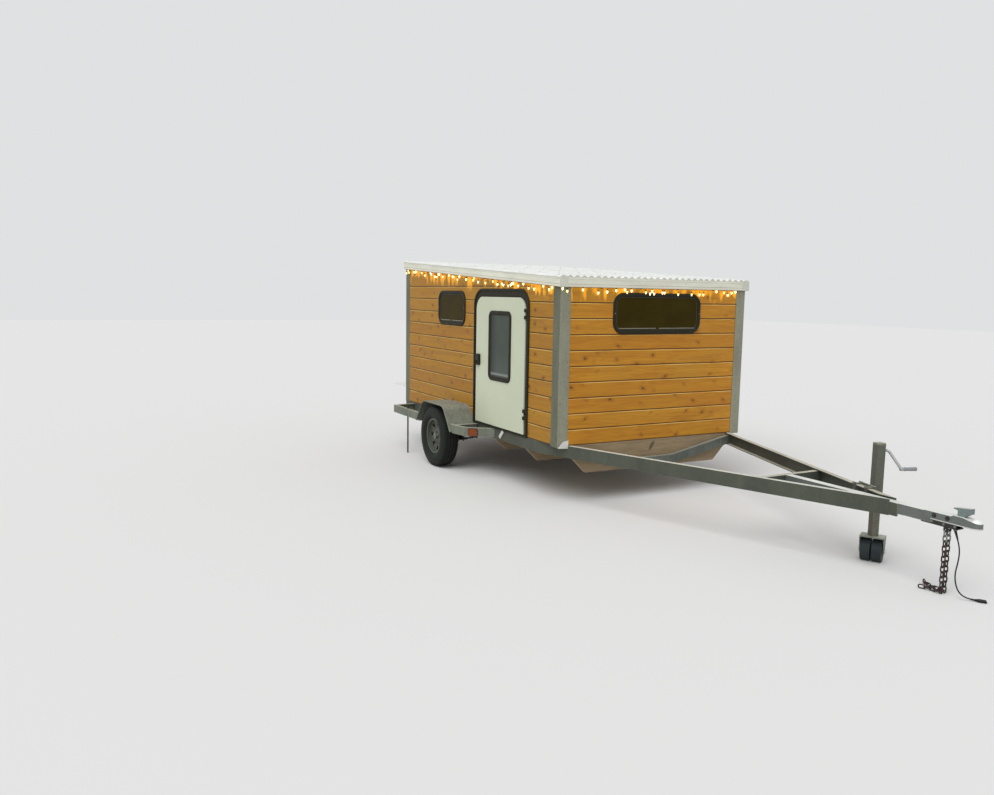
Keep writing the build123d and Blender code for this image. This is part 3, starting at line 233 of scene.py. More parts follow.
def rounded_line(corners, cut, steps=6):
    """A line through corners: each inner one is a parabola that starts and ends the cut away from it."""
    corners = np.array(corners, float)
    inner = corners[1:-1]
    back = corners[:-2] - inner
    ahead = corners[2:] - inner
    start = inner + cut * back / np.linalg.norm(back, axis=1)[:, None]
    end = inner + cut * ahead / np.linalg.norm(ahead, axis=1)[:, None]
    share = np.linspace(0, 1, steps)[None, :, None]
    bends = (1 - share) ** 2 * start[:, None] + 2 * share * (1 - share) * inner[:, None]
    bends += share**2 * end[:, None]
    return np.concatenate((corners[:1], bends.reshape(-1, corners.shape[1]), corners[-1:]))


def rounded_box(wide, high, radius, steps=8):
    """Outline of a box with round corners: four quarter circles."""
    angle = (np.arange(4)[:, None] * pi / 2 + np.linspace(0, pi / 2, steps)).ravel()
    corner = np.repeat(np.array(((1, 1), (-1, 1), (-1, -1), (1, -1))), steps, axis=0)
    arcs = radius * np.stack((np.cos(angle), np.sin(angle)), 1)
    return corner * (wide / 2 - radius, high / 2 - radius) + arcs


def moulding(wide, high, radius, section):
    """A frame on its origin's plane: a closed section of (inset, rise) carried round a rounded box."""
    tightest = 0.002
    rings = [
        raised(rounded_box(wide - 2 * inset, high - 2 * inset, max(radius - inset, tightest)), rise)
        for inset, rise in section
    ]
    return ring_shell(rings, looped=True)


# Finished materials by name
looks = {}


def build(name, shell, finish, body="chassis", crease=35):
    """Makes a shell, or a list of them, into a mesh that rides on a body, smooth but for sharp edges."""
    points, faces = gathered(shell) if isinstance(shell, list) else shell
    mesh = bpy.data.meshes.new(name)
    mesh.from_pydata(points.tolist(), [], [row for patch in faces for row in patch.tolist()])
    welded = bmesh.new()
    welded.from_mesh(mesh)
    bmesh.ops.recalc_face_normals(welded, faces=welded.faces)
    welded.to_mesh(mesh)
    welded.free()
    mesh.polygons.foreach_set("use_smooth", np.ones(len(mesh.polygons), bool))
    mesh.set_sharp_from_angle(angle=radians(crease))
    mesh.materials.append(looks[finish])
    piece = bpy.data.objects.new(name, mesh)
    bpy.context.scene.collection.objects.link(piece)
    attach(piece, body)
    return piece


def feed(tree, socket, value):
    """Links an output to an input, or sets its value. None leaves it."""
    if isinstance(value, bpy.types.NodeSocket):
        tree.links.new(value, socket)
    elif value is not None:
        socket.default_value = value


def add_node(tree, kind, *feeds, **choices):
    """Adds a node, makes its choices and feeds its inputs in order."""
    node = tree.nodes.new(kind)
    for choice, value in choices.items():
        setattr(node, choice, value)
    for socket, value in zip(node.inputs, feeds):
        feed(tree, socket, value)
    return node


class Recipe:
    """A procedural material: each call adds nodes and gives back an output to use further on."""

    def __init__(self, name, colour=(0.5, 0.5, 0.5), rough=0.5, metal=0.0):
        material = looks[name] = bpy.data.materials.new(name)
        material.use_nodes = True
        self.tree = material.node_tree
        self.shader = self.tree.nodes["Principled BSDF"]
        self.set("Base Color", (*colour, 1))
        self.set("Roughness", rough)
        self.set("Metallic", metal)
        self.place = self.node("ShaderNodeTexCoord").outputs["Object"]
        self.x, self.y, self.z = self.node("ShaderNodeSeparateXYZ", self.place).outputs
        normal = self.node("ShaderNodeNewGeometry").outputs["Normal"]
        self.facing_x, _, self.facing_z = self.node("ShaderNodeSeparateXYZ", normal).outputs

    def node(self, kind, *feeds, **choices):
        """Adds a node to the material."""
        return add_node(self.tree, kind, *feeds, **choices)

    def fill(self, node, **feeds):
        """Feeds a node's inputs by their names."""
        for name, value in feeds.items():
            feed(self.tree, node.inputs[name], value)
        return node

    def set(self, name, value):
        """Feeds one input of the shader."""
        feed(self.tree, self.shader.inputs[name], value)

    def math(self, action, *feeds):
        """One sum, product or function of numbers."""
        return self.node("ShaderNodeMath", *feeds, operation=action).outputs[0]

    def times(self, first, second):
        """The product of two numbers."""
        return self.math("MULTIPLY", first, second)

    def scaled(self, value, factor, start):
        """A value times a factor, added to a start."""
        return self.math("MULTIPLY_ADD", value, factor, start)

    def less(self, first, second):
        """The first number less the second."""
        return self.math("SUBTRACT", first, second)

    def spot(self, x, y, z):
        """A place put together from three numbers."""
        return self.node("ShaderNodeCombineXYZ", x, y, z).outputs[0]

    def eave(self):
        """Height of the sloping eave over each place."""
        ahead = self.less(float(front_x), self.x)
        return self.scaled(ahead, float(roof_slope), float(front_top))

    def stretched(self, x, y, z):
        """Object coordinates multiplied by a number along each axis."""
        return self.node("ShaderNodeVectorMath", self.place, (x, y, z), operation="MULTIPLY").outputs[0]

    def noise(self, where, scale, detail=3.0, rough=0.5, twist=0.0):
        """Soft noise from 0 to 1."""
        cloud = self.node("ShaderNodeTexNoise")
        self.fill(cloud, Vector=where, Scale=scale, Detail=detail, Roughness=rough, Distortion=twist)
        return cloud.outputs[0]

    def cells(self, where, scale, **choices):
        """Distance to the nearest of scattered points, and a random colour for each cell."""
        cell = self.fill(self.node("ShaderNodeTexVoronoi", **choices), Vector=where, Scale=scale)
        return cell.outputs["Distance"], cell.outputs["Color"]

    def between(self, value, low, high, start=0.0, end=1.0):
        """A smooth change from start to end as the value goes from low to high."""
        node = self.node("ShaderNodeMapRange", value, low, high, start, end, interpolation_type="SMOOTHSTEP")
        return node.outputs[0]

    def fade(self, value, low, high):
        """A smooth change from 1 to 0 as the value goes from low to high."""
        return self.between(value, low, high, 1.0, 0.0)

    def layer(self, colour, coat, value, low, high, most):
        """A colour painted over by a coat, up to the most of it as the value goes from low to high."""
        return self.mix(self.between(value, low, high, 0.0, most), colour, coat)

    def mix(self, share, first, second, way="MIX"):
        """Two colours mixed by a share."""
        node = self.node("ShaderNodeMix", data_type="RGBA", blend_type=way)
        feed(self.tree, node.inputs["Factor"], share)
        for socket, value in zip((node.inputs[6], node.inputs[7]), (first, second)):
            feed(self.tree, socket, (*value, 1) if isinstance(value, tuple) else value)
        return node.outputs[2]

    def shades(self, value, *stops):
        """A colour picked by a value from (place, colour) stops."""
        ramp = self.node("ShaderNodeValToRGB", value)
        while len(ramp.color_ramp.elements) < len(stops):
            ramp.color_ramp.elements.new(0.5)
        for element, (place, colour) in zip(ramp.color_ramp.elements, stops):
            element.position = place
            element.color = (*colour, 1)
        return ramp.outputs["Color"]

    def relief(self, height, depth, strength=1.0):
        """Bumps the surface by a height from 0 to 1, that deep in metres."""
        bump = self.fill(self.node("ShaderNodeBump"), Height=height, Distance=depth, Strength=strength)
        self.set("Normal", bump.outputs["Normal"])


def stained_boards(name, along, tint):
    """Honey-stained softwood boards: grain stretched along each board and shifted from board to
    board, knots, a dark joint partly darkened as painted shade with a painted highlight on the lip
    under it, a warm painted glow near the string lights, and a tint that is painted shade on side walls."""
    wood = Recipe(name, rough=0.5)
    run = wood.x if along == "X" else wood.y
    level = wood.math("DIVIDE", wood.less(wood.z, float(base_z)), board_pitch)
    board = wood.math("FLOOR", level)
    share = wood.less(level, board)
    tone = wood.node("ShaderNodeTexWhiteNoise", None, board, noise_dimensions="1D").outputs["Value"]
    own_run = wood.scaled(tone, 17.0, run)

    # Knots: one point in each flat cell, as high as a board; those of a high enough kind show
    lean = wood.times(wood.less(tone, 0.5), 1.2)
    along_knots = wood.scaled(own_run, 5.6, wood.times(share, lean))
    knot_spot = wood.spot(along_knots, level, 0.0)
    knot_far, knot_colour = wood.cells(knot_spot, 1.0, voronoi_dimensions="2D")
    kind = wood.node("ShaderNodeSeparateColor", knot_colour).outputs[0]
    knot_size = wood.between(kind, 0.50, 1.0, 0.0, 0.080)
    rim = wood.noise(wood.place, 95.0, 2.0)
    past = wood.less(knot_far, wood.scaled(rim, 0.03, knot_size))
    knot = wood.fade(past, -0.045, 0.0)
    halo = wood.times(wood.fade(past, 0.0, 0.20), wood.between(kind, 0.46, 0.56))

    high = wood.scaled(halo, 0.010, wood.z)
    figure_spot = wood.spot(wood.times(own_run, 0.7), wood.times(high, 9.0), board)
    figure = wood.noise(figure_spot, 2.4, 2.0, 0.5, 0.5)
    rings = wood.math("SINE", wood.times(figure, 42.0))
    fibre_spot = wood.spot(wood.times(own_run, 2.4), wood.times(high, 90.0), board)
    fibre = wood.noise(fibre_spot, 3.0, 4.0, 0.65)
    soft = wood.scaled(fibre, 0.5, wood.times(figure, 0.45))
    grain = wood.scaled(rings, 0.07, soft)
    colour = wood.shades(
        grain, (0.25, (0.36, 0.135, 0.012)), (0.48, (0.50, 0.205, 0.020)), (0.72, (0.62, 0.285, 0.036))
    )
    stain = wood.noise(wood.stretched(1.0, 1.0, 1.4), 2.2, 3.0)
    colour = wood.layer(colour, (0.50, 0.255, 0.042), stain, 0.40, 0.75, 0.35)
    colour = wood.layer(colour, (0.42, 0.140, 0.010), tone, 0.3, 1.0, 0.30)
    colour = wood.mix(wood.times(halo, 0.42), colour, (0.26, 0.085, 0.010))
    colour = wood.mix(wood.times(knot, 0.78), colour, (0.075, 0.030, 0.009))

    # Joint at each board's lower edge, darkened partly as painted shade, and a painted highlight on the bevel
    # at its upper edge
    dark = wood.times(wood.fade(share, 0.056, 0.078), wood.between(share, 0.0, 0.004))
    lip = wood.times(wood.between(share, 0.945, 0.957), wood.fade(share, 0.982, 0.992))
    colour = wood.mix(wood.times(dark, 0.88), colour, (0.045, 0.018, 0.006))
    bevel_highlight_share = wood.between(wood.noise(wood.stretched(1.0, 1.0, 8.0), 3.0, 2.0), 0.35, 0.6, 0.35, 0.85)
    colour = wood.mix(wood.times(lip, bevel_highlight_share), colour, (0.90, 0.60, 0.34))

    # The tint: on the side walls it also darkens them as painted shade
    colour = wood.mix(1.0, colour, tint, "MULTIPLY")

    # Glow: painted light of the string lights on the wood, soft streaks of uneven length under the eave
    below = wood.less(wood.eave(), wood.z)
    streak_spot = wood.spot(run, wood.times(wood.z, 0.35), 0.0)
    streak = wood.noise(streak_spot, 15.0, 1.5, 0.5)
    reach = wood.between(streak, 0.40, 0.68, 0.045, 0.165)
    glow = wood.between(wood.math("DIVIDE", below, reach), 0.1, 1.0, 1.0, 0.0)
    glow = wood.times(glow, wood.between(streak, 0.36, 0.62, 0.30, 1.0))
    colour = wood.mix(wood.times(glow, 0.85), colour, (1.0, 0.43, 0.012))
    wood.set("Base Color", colour)
    wood.set("Emission Color", (1.0, 0.42, 0.02, 1))
    wood.set("Emission Strength", wood.times(glow, 0.42))
    wood.set("Specular IOR Level", 0.3)
    wood.set("Roughness", wood.between(grain, 0.2, 0.8, 0.46, 0.62))
    wood.relief(wood.scaled(knot, -0.3, grain), 0.0012, 0.6)


def zinc(name, light, dark, rough=0.55, metal=0.3, dirt=0.35, top=None, front=None):
    """Hot-dip zinc: faint spangle, long soft clouds, blotches of dirt, pale runs and dark spots.

    Faces that look up get a painted highlight in the top colour, and faces that look ahead one in the front
    colour."""
    coat = Recipe(name, metal=metal)
    _, spangle = coat.cells(coat.place, 85.0)
    spangle_tone = coat.node("ShaderNodeSeparateColor", spangle).outputs[0]
    cloud = coat.noise(coat.stretched(1.0, 1.0, 0.35), 4.0, 4.0, 0.55, 0.3)
    share = coat.scaled(spangle_tone, 0.12, coat.times(cloud, 0.88))
    colour = coat.shades(share, (0.30, dark), (0.72, light))
    # Painted highlight on faces that look ahead
    if front:
        ahead = coat.between(coat.facing_x, 0.4, 0.9, 0.0, 1.0)
        pale = coat.mix(coat.between(share, 0.3, 0.7), tuple(0.78 * value for value in front), front)
        colour = coat.mix(ahead, colour, pale)
    # Painted highlight on faces that look up
    if top:
        top_highlight_share = coat.between(coat.facing_z, 0.3, 0.9, 0.0, 1.0)
        pale = coat.mix(coat.between(share, 0.3, 0.7), tuple(0.80 * value for value in top), top)
        colour = coat.mix(top_highlight_share, colour, pale)
    soil = coat.noise(coat.stretched(1.0, 1.0, 0.5), 5.0, 6.0, 0.7)
    colour = coat.layer(colour, (0.060, 0.055, 0.040), soil, 0.52, 0.85, dirt)
    runs = coat.noise(coat.stretched(1.0, 1.0, 0.10), 26.0, 3.0, 0.6)
    pale_run = tuple(min(1.0, 1.45 * value) for value in light)
    colour = coat.layer(colour, pale_run, runs, 0.54, 0.72, 0.8 * dirt)
    spots = coat.noise(coat.place, 48.0, 2.0, 0.6)
    colour = coat.layer(colour, (0.045, 0.042, 0.032), spots, 0.58, 0.70, dirt)
    coat.set("Base Color", colour)
    coat.set("Roughness", coat.between(share, 0.2, 0.9, rough + 0.10, rough - 0.05))
    coat.relief(coat.scaled(spangle_tone, 0.3, cloud), 0.0008, 0.4)


def painted(name, colour, rough=0.45, dirt=0.2, soil_colour=(0.25, 0.24, 0.20), scale=1.0, chalk=0.86):
    """Paint with a faint orange peel, chalky clouds and blotches of dirt."""
    paint = Recipe(name)
    cloud = paint.noise(paint.stretched(1.0, 1.0, 0.7), 4.0 * scale, 5.0, 0.62)
    soil = paint.noise(paint.place, 1.7 * scale, 6.0, 0.75)
    dark = tuple(value * chalk for value in colour)
    tint = paint.mix(paint.between(cloud, 0.35, 0.7), dark, colour)
    tint = paint.layer(tint, soil_colour, soil, 0.52, 0.85, dirt)
    paint.set("Base Color", tint)
    paint.set("Roughness", paint.between(cloud, 0.3, 0.75, rough + 0.1, rough - 0.05))
    paint.relief(paint.noise(paint.place, 420.0, 2.0), 0.0002, 0.35)


def wheel_paint(name):
    """Grey wheel paint, darker and browner in a band between the hub and the lighter rim's edge."""
    paint = Recipe(name, rough=0.5)
    hub = middle("rim_right")
    ahead = paint.less(paint.x, float(hub[0]))
    above = paint.less(paint.z, float(hub[2]))
    far = paint.math("SQRT", paint.scaled(ahead, ahead, paint.times(above, above)))
    cloud = paint.noise(paint.place, 14.0, 5.0, 0.7)
    colour = paint.shades(cloud, (0.3, (0.066, 0.075, 0.060)), (0.7, (0.125, 0.134, 0.110)))
    # A darker, browner band between the hub and the rim's edge
    dusty = paint.times(paint.between(far, 0.050, 0.085), paint.fade(far, 0.150, 0.168))
    colour = paint.mix(paint.times(dusty, 0.75), colour, (0.060, 0.060, 0.046))
    spots = paint.noise(paint.place, 60.0, 3.0, 0.7)
    colour = paint.layer(colour, (0.045, 0.040, 0.030), spots, 0.55, 0.75, 0.6)
    paint.set("Base Color", colour)
    paint.relief(spots, 0.0003, 0.5)


def fascia_boards(name):
    """Off-white painted trim board with two fine grooves that follow the eave."""
    paint = Recipe(name, rough=0.5)
    above = paint.less(paint.z, paint.eave())
    cloud = paint.noise(paint.stretched(0.6, 0.6, 3.0), 5.0, 5.0, 0.6)
    colour = paint.shades(cloud, (0.3, (0.62, 0.62, 0.51)), (0.7, (0.78, 0.78, 0.66)))
    grooves = []
    for level, bed, edge, dark in ((0.021, 0.0010, 0.0022, 1.0), (0.060, 0.0008, 0.0018, 0.5)):
        off = paint.math("ABSOLUTE", paint.less(above, level))
        grooves.append(paint.between(off, bed, edge, dark, 0.0))
    groove = paint.math("MAXIMUM", *grooves)
    colour = paint.mix(paint.times(groove, 0.6), colour, (0.20, 0.19, 0.15))
    # Painted shade along the fascia's foot, warmed as painted light from the string lights
    foot = paint.between(above, 0.0, 0.018, 0.55, 0.0)
    colour = paint.mix(foot, colour, (0.66, 0.56, 0.42))
    paint.set("Base Color", colour)
    paint.relief(paint.scaled(groove, -1.0, paint.times(cloud, 0.2)), 0.002, 0.7)


def weathered_planks(name, pale, dark, scale=1.0, branch=None):
    """Bare boards gone grey-tan: long fibres, dark checks and scattered knots.

    A branch is one long knot: its place across and up, its lean, and its half length and width."""
    plank = Recipe(name, rough=0.8)
    fibre = plank.noise(plank.stretched(2.0, 2.0, 34.0), 2.2 * scale, 5.0, 0.65, 0.3)
    cloud = plank.noise(plank.place, 3.0 * scale, 4.0, 0.6)
    far, _ = plank.cells(plank.stretched(1.0, 1.0, 0.55), 3.3)
    knot = plank.fade(far, 0.02, 0.07)
    colour = plank.shades(fibre, (0.25, dark), (0.7, pale))
    colour = plank.layer(colour, (0.24, 0.20, 0.15), cloud, 0.4, 0.75, 0.35)
    colour = plank.mix(plank.times(knot, 0.8), colour, (0.07, 0.045, 0.03))
    if branch:
        across, level, lean, half_long, half_wide = branch
        aside = plank.less(plank.y, across)
        above = plank.less(plank.z, level)
        along = plank.scaled(aside, cos(lean), plank.times(above, sin(lean)))
        off = plank.scaled(aside, -sin(lean), plank.times(above, cos(lean)))
        ends = plank.math("POWER", plank.math("DIVIDE", along, half_long), 2.0)
        sides = plank.math("POWER", plank.math("DIVIDE", off, half_wide), 2.0)
        far = plank.math("ADD", plank.math("ADD", ends, sides), plank.times(fibre, 0.6))
        colour = plank.mix(plank.between(far, 0.7, 1.5, 0.85, 0.0), colour, (0.085, 0.055, 0.030))
    plank.set("Base Color", colour)
    plank.relief(fibre, 0.0015, 0.7)


def dark_plastic(name, colour=(0.014, 0.014, 0.010), rough=0.45, dust=0.10, shine=0.22):
    """Moulded black plastic with fine leather-like grain and a film of dust."""
    plastic = Recipe(name)
    dusty = plastic.noise(plastic.place, 9.0, 5.0, 0.65)
    tint = plastic.layer(colour, (0.10, 0.095, 0.070), dusty, 0.45, 0.8, dust)
    plastic.set("Base Color", tint)
    plastic.set("Specular IOR Level", shine)
    plastic.set("Roughness", plastic.between(dusty, 0.3, 0.8, rough - 0.05, rough + 0.18))
    far, _ = plastic.cells(plastic.place, 700.0)
    plastic.relief(far, 0.0002, 0.4)


def tinted_glass(name, colour, haze, rough=0.10):
    """Dark acrylic pane: a deep colour with cloudy haze under a smooth skin."""
    pane = Recipe(name, rough=rough)
    cloud = pane.noise(pane.stretched(1.0, 1.0, 1.6), 2.6, 4.0, 0.6)
    pane.set("Base Color", pane.mix(pane.between(cloud, 0.35, 0.75), colour, haze))
    pane.set("Roughness", pane.between(cloud, 0.3, 0.8, rough, rough + 0.09))
    pane.set("Specular IOR Level", 0.03)


def door_pane(name):
    """Frosted door pane: dark towards the rear, paler at its foot, with a blind's pale edge there."""
    pane = Recipe(name, rough=0.25)
    pane.set("Specular IOR Level", 0.2)
    centre = middle("door_glass")
    side = pane.less(pane.x, float(centre[0]))
    level = pane.less(pane.z, float(centre[2]))
    cloud = pane.noise(pane.stretched(1.0, 1.0, 0.5), 3.0, 3.0, 0.5)
    colour = pane.shades(cloud, (0.35, (0.032, 0.046, 0.034)), (0.65, (0.050, 0.068, 0.052)))
    colour = pane.mix(pane.between(level, -0.27, 0.02, 0.45, 0.0), colour, (0.082, 0.104, 0.096))
    colour = pane.mix(pane.between(side, -0.17, -0.02, 0.85, 0.0), colour, (0.014, 0.020, 0.016))
    foot = pane.times(pane.between(level, -0.270, -0.263), pane.fade(level, -0.255, -0.238))
    colour = pane.mix(pane.times(foot, 0.8), colour, (0.22, 0.24, 0.23))
    pane.set("Base Color", colour)


# The default colour is black rubber, darkened further as painted shade
def tyre_rubber(name, colour=(0.009, 0.011, 0.009), dust=0.22):
    """Dusty rubber: soft speckle, and blotches of pale dust over the tread and sidewall."""
    rubber = Recipe(name)
    speckle = rubber.noise(rubber.place, 60.0, 4.0, 0.7)
    dusty = rubber.noise(rubber.place, 8.0, 5.0, 0.7)
    tint = rubber.layer(colour, (0.075, 0.075, 0.062), dusty, 0.4, 0.8, dust)
    rubber.set("Specular IOR Level", 0.25)
    tint = rubber.layer(tint, (0.050, 0.052, 0.045), speckle, 0.55, 0.8, 0.3)
    rubber.set("Base Color", tint)
    rubber.set("Roughness", rubber.between(dusty, 0.3, 0.8, 0.62, 0.85))
    rubber.relief(speckle, 0.0005, 0.5)


def rusty(name, brown=(0.115, 0.050, 0.028), bare=(0.10, 0.085, 0.075), rough=0.75):
    """Rusted steel: brown scale over darker bare patches, pitted."""
    steel = Recipe(name)
    patch = steel.noise(steel.place, 26.0, 6.0, 0.72, 0.5)
    pit = steel.noise(steel.place, 190.0, 3.0, 0.6)
    tint = steel.mix(steel.between(patch, 0.35, 0.65), bare, brown)
    tint = steel.layer(tint, (0.035, 0.022, 0.016), pit, 0.5, 0.75, 0.5)
    steel.set("Base Color", tint)
    steel.set("Metallic", steel.between(patch, 0.35, 0.6, 0.5, 0.05))
    steel.set("Roughness", steel.between(patch, 0.3, 0.7, rough - 0.15, rough))
    steel.relief(steel.scaled(pit, 0.5, patch), 0.0006, 0.7)


def lamp_lens(name, colour, glow):
    """Moulded lens: vertical flutes and a faint inner prism pattern under a glossy skin."""
    lens = Recipe(name, rough=0.18)
    flute = lens.math("SINE", lens.times(lens.x, 900.0))
    prism, _ = lens.cells(lens.place, 160.0)
    share = lens.scaled(flute, 0.18, lens.times(prism, 0.8))
    deep = tuple(value * 0.45 for value in colour)
    lens.set("Base Color", lens.mix(lens.between(share, 0.0, 0.8), colour, deep))
    lens.set("Coat Weight", 0.25)
    lens.set("Specular IOR Level", 0.2)
    lens.set("Emission Color", (*glow, 1))
    lens.set("Emission Strength", 0.03)
    lens.relief(share, 0.0006, 0.6)


def warm_bulb(name):
    """A lit mini bulb: amber to warm white, a little different from bulb to bulb."""
    bulb = Recipe(name, (1.0, 0.75, 0.35), 0.25)
    flicker = bulb.noise(bulb.place, 17.0, 1.0)
    glow = bulb.mix(bulb.between(flicker, 0.4, 0.6), (1.0, 0.66, 0.24), (1.0, 0.84, 0.48))
    bulb.set("Emission Color", glow)
    bulb.set("Emission Strength", bulb.between(flicker, 0.3, 0.7, 1.2, 2.4))


# Materials: each row gives a name, then what its recipe asks for
# The side walls' tint darkens them as painted shade; the end walls' tint mostly warms them
stained_boards("side_boards", "X", (0.74, 0.83, 0.52))
stained_boards("end_boards", "Y", (0.96, 1.0, 0.62))
# Zinc rows: name, light, dark, roughness, metal, dirt, then painted highlight colours for faces that look up
# and for faces that look ahead, where given
for row in (
    ("post_zinc", (0.155, 0.165, 0.112), (0.098, 0.108, 0.072), 0.6, 0.2, 0.25, None, (0.29, 0.29, 0.215)),
    # frame_zinc and tongue_zinc: the rails' own dark grey-green, darkened further as painted shade
    ("frame_zinc", (0.090, 0.100, 0.078), (0.055, 0.063, 0.050), 0.6, 0.2, 0.3, (0.56, 0.53, 0.43)),
    ("tongue_zinc", (0.085, 0.092, 0.066), (0.054, 0.061, 0.046), 0.6, 0.2, 0.25, (0.72, 0.72, 0.64)),
    ("coupler_zinc", (0.152, 0.168, 0.155), (0.098, 0.112, 0.105), 0.55, 0.2, 0.06, (0.78, 0.79, 0.74)),
    ("arm_zinc", (0.21, 0.225, 0.175), (0.12, 0.135, 0.105), 0.6, 0.2, 0.4, (0.42, 0.42, 0.34)),
    ("bright_zinc", (0.78, 0.79, 0.74), (0.60, 0.61, 0.57), 0.42, 0.3, 0.10),
    ("fender_zinc", (0.185, 0.195, 0.152), (0.088, 0.097, 0.076), 0.65, 0.15, 0.6, (0.27, 0.275, 0.215)),
    ("jack_zinc", (0.130, 0.135, 0.108), (0.088, 0.095, 0.076), 0.6, 0.2, 0.3, (0.50, 0.51, 0.43)),
    ("leg_zinc", (0.22, 0.205, 0.150), (0.13, 0.125, 0.095), 0.6, 0.2, 0.35),
    ("lever_zinc", (0.21, 0.255, 0.25), (0.13, 0.168, 0.165), 0.5, 0.3, 0.2, (0.50, 0.52, 0.48)),
    ("dome_zinc", (0.84, 0.85, 0.80), (0.70, 0.71, 0.67), 0.40, 0.2, 0.04),
    ("low_zinc", (0.135, 0.150, 0.125), (0.075, 0.086, 0.072), 0.6, 0.2, 0.3, (0.30, 0.30, 0.25)),
    ("fork_zinc", (0.27, 0.29, 0.235), (0.16, 0.175, 0.14), 0.6, 0.2, 0.3, (0.55, 0.57, 0.48)),
    ("link_zinc", (0.30, 0.30, 0.28), (0.05, 0.046, 0.042), 0.30, 0.6, 0.6),
    ("lip_zinc", (0.62, 0.63, 0.58), (0.44, 0.45, 0.41), 0.45, 0.3, 0.15),
    ("crank_zinc", (0.50, 0.51, 0.50), (0.33, 0.34, 0.34), 0.35, 0.5, 0.12),
    ("nut_zinc", (0.23, 0.235, 0.19), (0.11, 0.115, 0.09), 0.45, 0.5, 0.35),
):
    zinc(*row)
for row in (
    ("roof_paint", (0.80, 0.81, 0.78), 0.42, 0.22, (0.45, 0.45, 0.38)),
    ("door_paint", (0.545, 0.585, 0.435), 0.4, 0.08, (0.44, 0.46, 0.33), 0.5, 0.955),
    ("shelf_paint", (0.80, 0.81, 0.77), 0.4, 0.2, (0.4, 0.4, 0.33)),
    ("closure_paint", (0.76, 0.76, 0.66), 0.5, 0.15, (0.4, 0.4, 0.33)),
    ("cover_paint", (0.64, 0.65, 0.56), 0.5, 0.2, (0.35, 0.35, 0.28)),
):
    painted(*row)
for row in (
    ("frame_plastic", (0.019, 0.017, 0.010), 0.5, 0.12, 0.15),
    ("jack_plastic", (0.018, 0.026, 0.028), 0.55, 0.25),
    ("track_plastic", (0.26, 0.25, 0.19), 0.4, 0.3, 0.4),
    ("grip_plastic", (0.24, 0.25, 0.262), 0.4, 0.25, 0.4),
    ("cord_rubber", (0.014, 0.014, 0.015), 0.5, 0.15),
    ("gasket_rubber", (0.040, 0.037, 0.022), 0.5, 0.15, 0.3),
):
    dark_plastic(*row)
fascia_boards("fascia_paint")
wheel_paint("rim_paint")
slanted_knot = (-0.012, 0.436, 1.0, 0.050, 0.019)
weathered_planks("board_grey", (0.32, 0.235, 0.130), (0.18, 0.130, 0.075), 1.0, slanted_knot)
weathered_planks("plywood", (0.50, 0.38, 0.24), (0.34, 0.24, 0.14), 0.7)
tinted_glass("pane_dark", (0.034, 0.024, 0.003), (0.048, 0.035, 0.006), 0.16)
door_pane("pane_door")
tyre_rubber("rubber")
rusty("chain_rust", (0.052, 0.024, 0.016), (0.040, 0.034, 0.032))
rusty("black_steel", (0.030, 0.025, 0.021), (0.024, 0.025, 0.025), 0.7)
lamp_lens("amber", (0.24, 0.052, 0.004), (1.0, 0.20, 0.01))
lamp_lens("red", (0.42, 0.015, 0.012), (1.0, 0.03, 0.02))
warm_bulb("bulb_glow")

# Solids in each material
solids = {
    "side_boards": ("right_wall", "left_wall"),
    "end_boards": ("front_wall", "rear_wall"),
    "plywood": ("floor_deck", "roof_panel"),
    "board_grey": ("floor_joists",),
    "post_zinc": ("corner_posts",),
    "tongue_zinc": ("rail_right",),
    "frame_zinc": ("rail_left", "crossmembers"),
    "low_zinc": ("front_crossmember",),
    "coupler_zinc": ("tongue_beam", "coupler"),
    "lever_zinc": ("coupler_lever",),
    "fender_zinc": ("fenders",),
    "arm_zinc": ("outriggers",),
    "jack_zinc": ("jack_tube", "jack_bracket"),
    "bright_zinc": ("jack_crank",),
    "leg_zinc": ("jack_leg",),
    "fork_zinc": ("caster_fork",),
    "jack_plastic": ("caster_wheels",),
    "black_steel": (
        "axle", "springs", "spring_hangers", "stand_sleeves", "stand_rod_right", "stand_rod_left",
        "chain_bracket",
    ),
    "roof_paint": ("roof_sheet",),
    "fascia_paint": ("fascia",),
    "door_paint": ("door_panel", "hinge_door_leaves"),
    "shelf_paint": ("rear_shelf",),
    "frame_plastic": ("window_frames", "door_frame", "hinge_frame_leaves", "door_window_rim", "door_latch"),
    "pane_dark": ("window_glass",),
    "pane_door": ("door_glass",),
    "rubber": ("tyre_right", "tyre_left"),
    "rim_paint": ("rim_right", "rim_left"),
    "amber": ("marker_lamps",),
    "red": ("tail_lamps",),
    "chain_rust": ("safety_chains",),
    "cord_rubber": ("wiring_lead", "wiring_plug", "string_light_wire"),
}
for finish, nodes in solids.items():
    for node in nodes:
        for material_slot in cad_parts[node].material_slots:
            material_slot.material = looks[finish]

# Wiring lead: the same route as the solid's, in metres from the body's front
lead_diameter = 0.008
lead_route = (
    (2.796, -0.020, 0.402), (2.817, -0.021, 0.352), (2.836, -0.025, 0.290), (2.833, -0.029, 0.222),
    (2.822, -0.031, 0.158), (2.826, -0.027, 0.096), (2.842, -0.012, 0.042), (2.872, 0.022, 0.012),
    (2.905, 0.052, 0.0095),
)


def line_points(piece):
    """Points along a curve piece's own line, in order, read from it with no thickness."""
    bare = piece.copy()
    bare.data = piece.data.copy()
    bare.data.bevel_depth = 0
    line = bpy.data.meshes.new_from_object(bare)
    points = np.array([point.co for point in line.vertices])
    bpy.data.objects.remove(bare)
    bpy.data.meshes.remove(line)
    return points


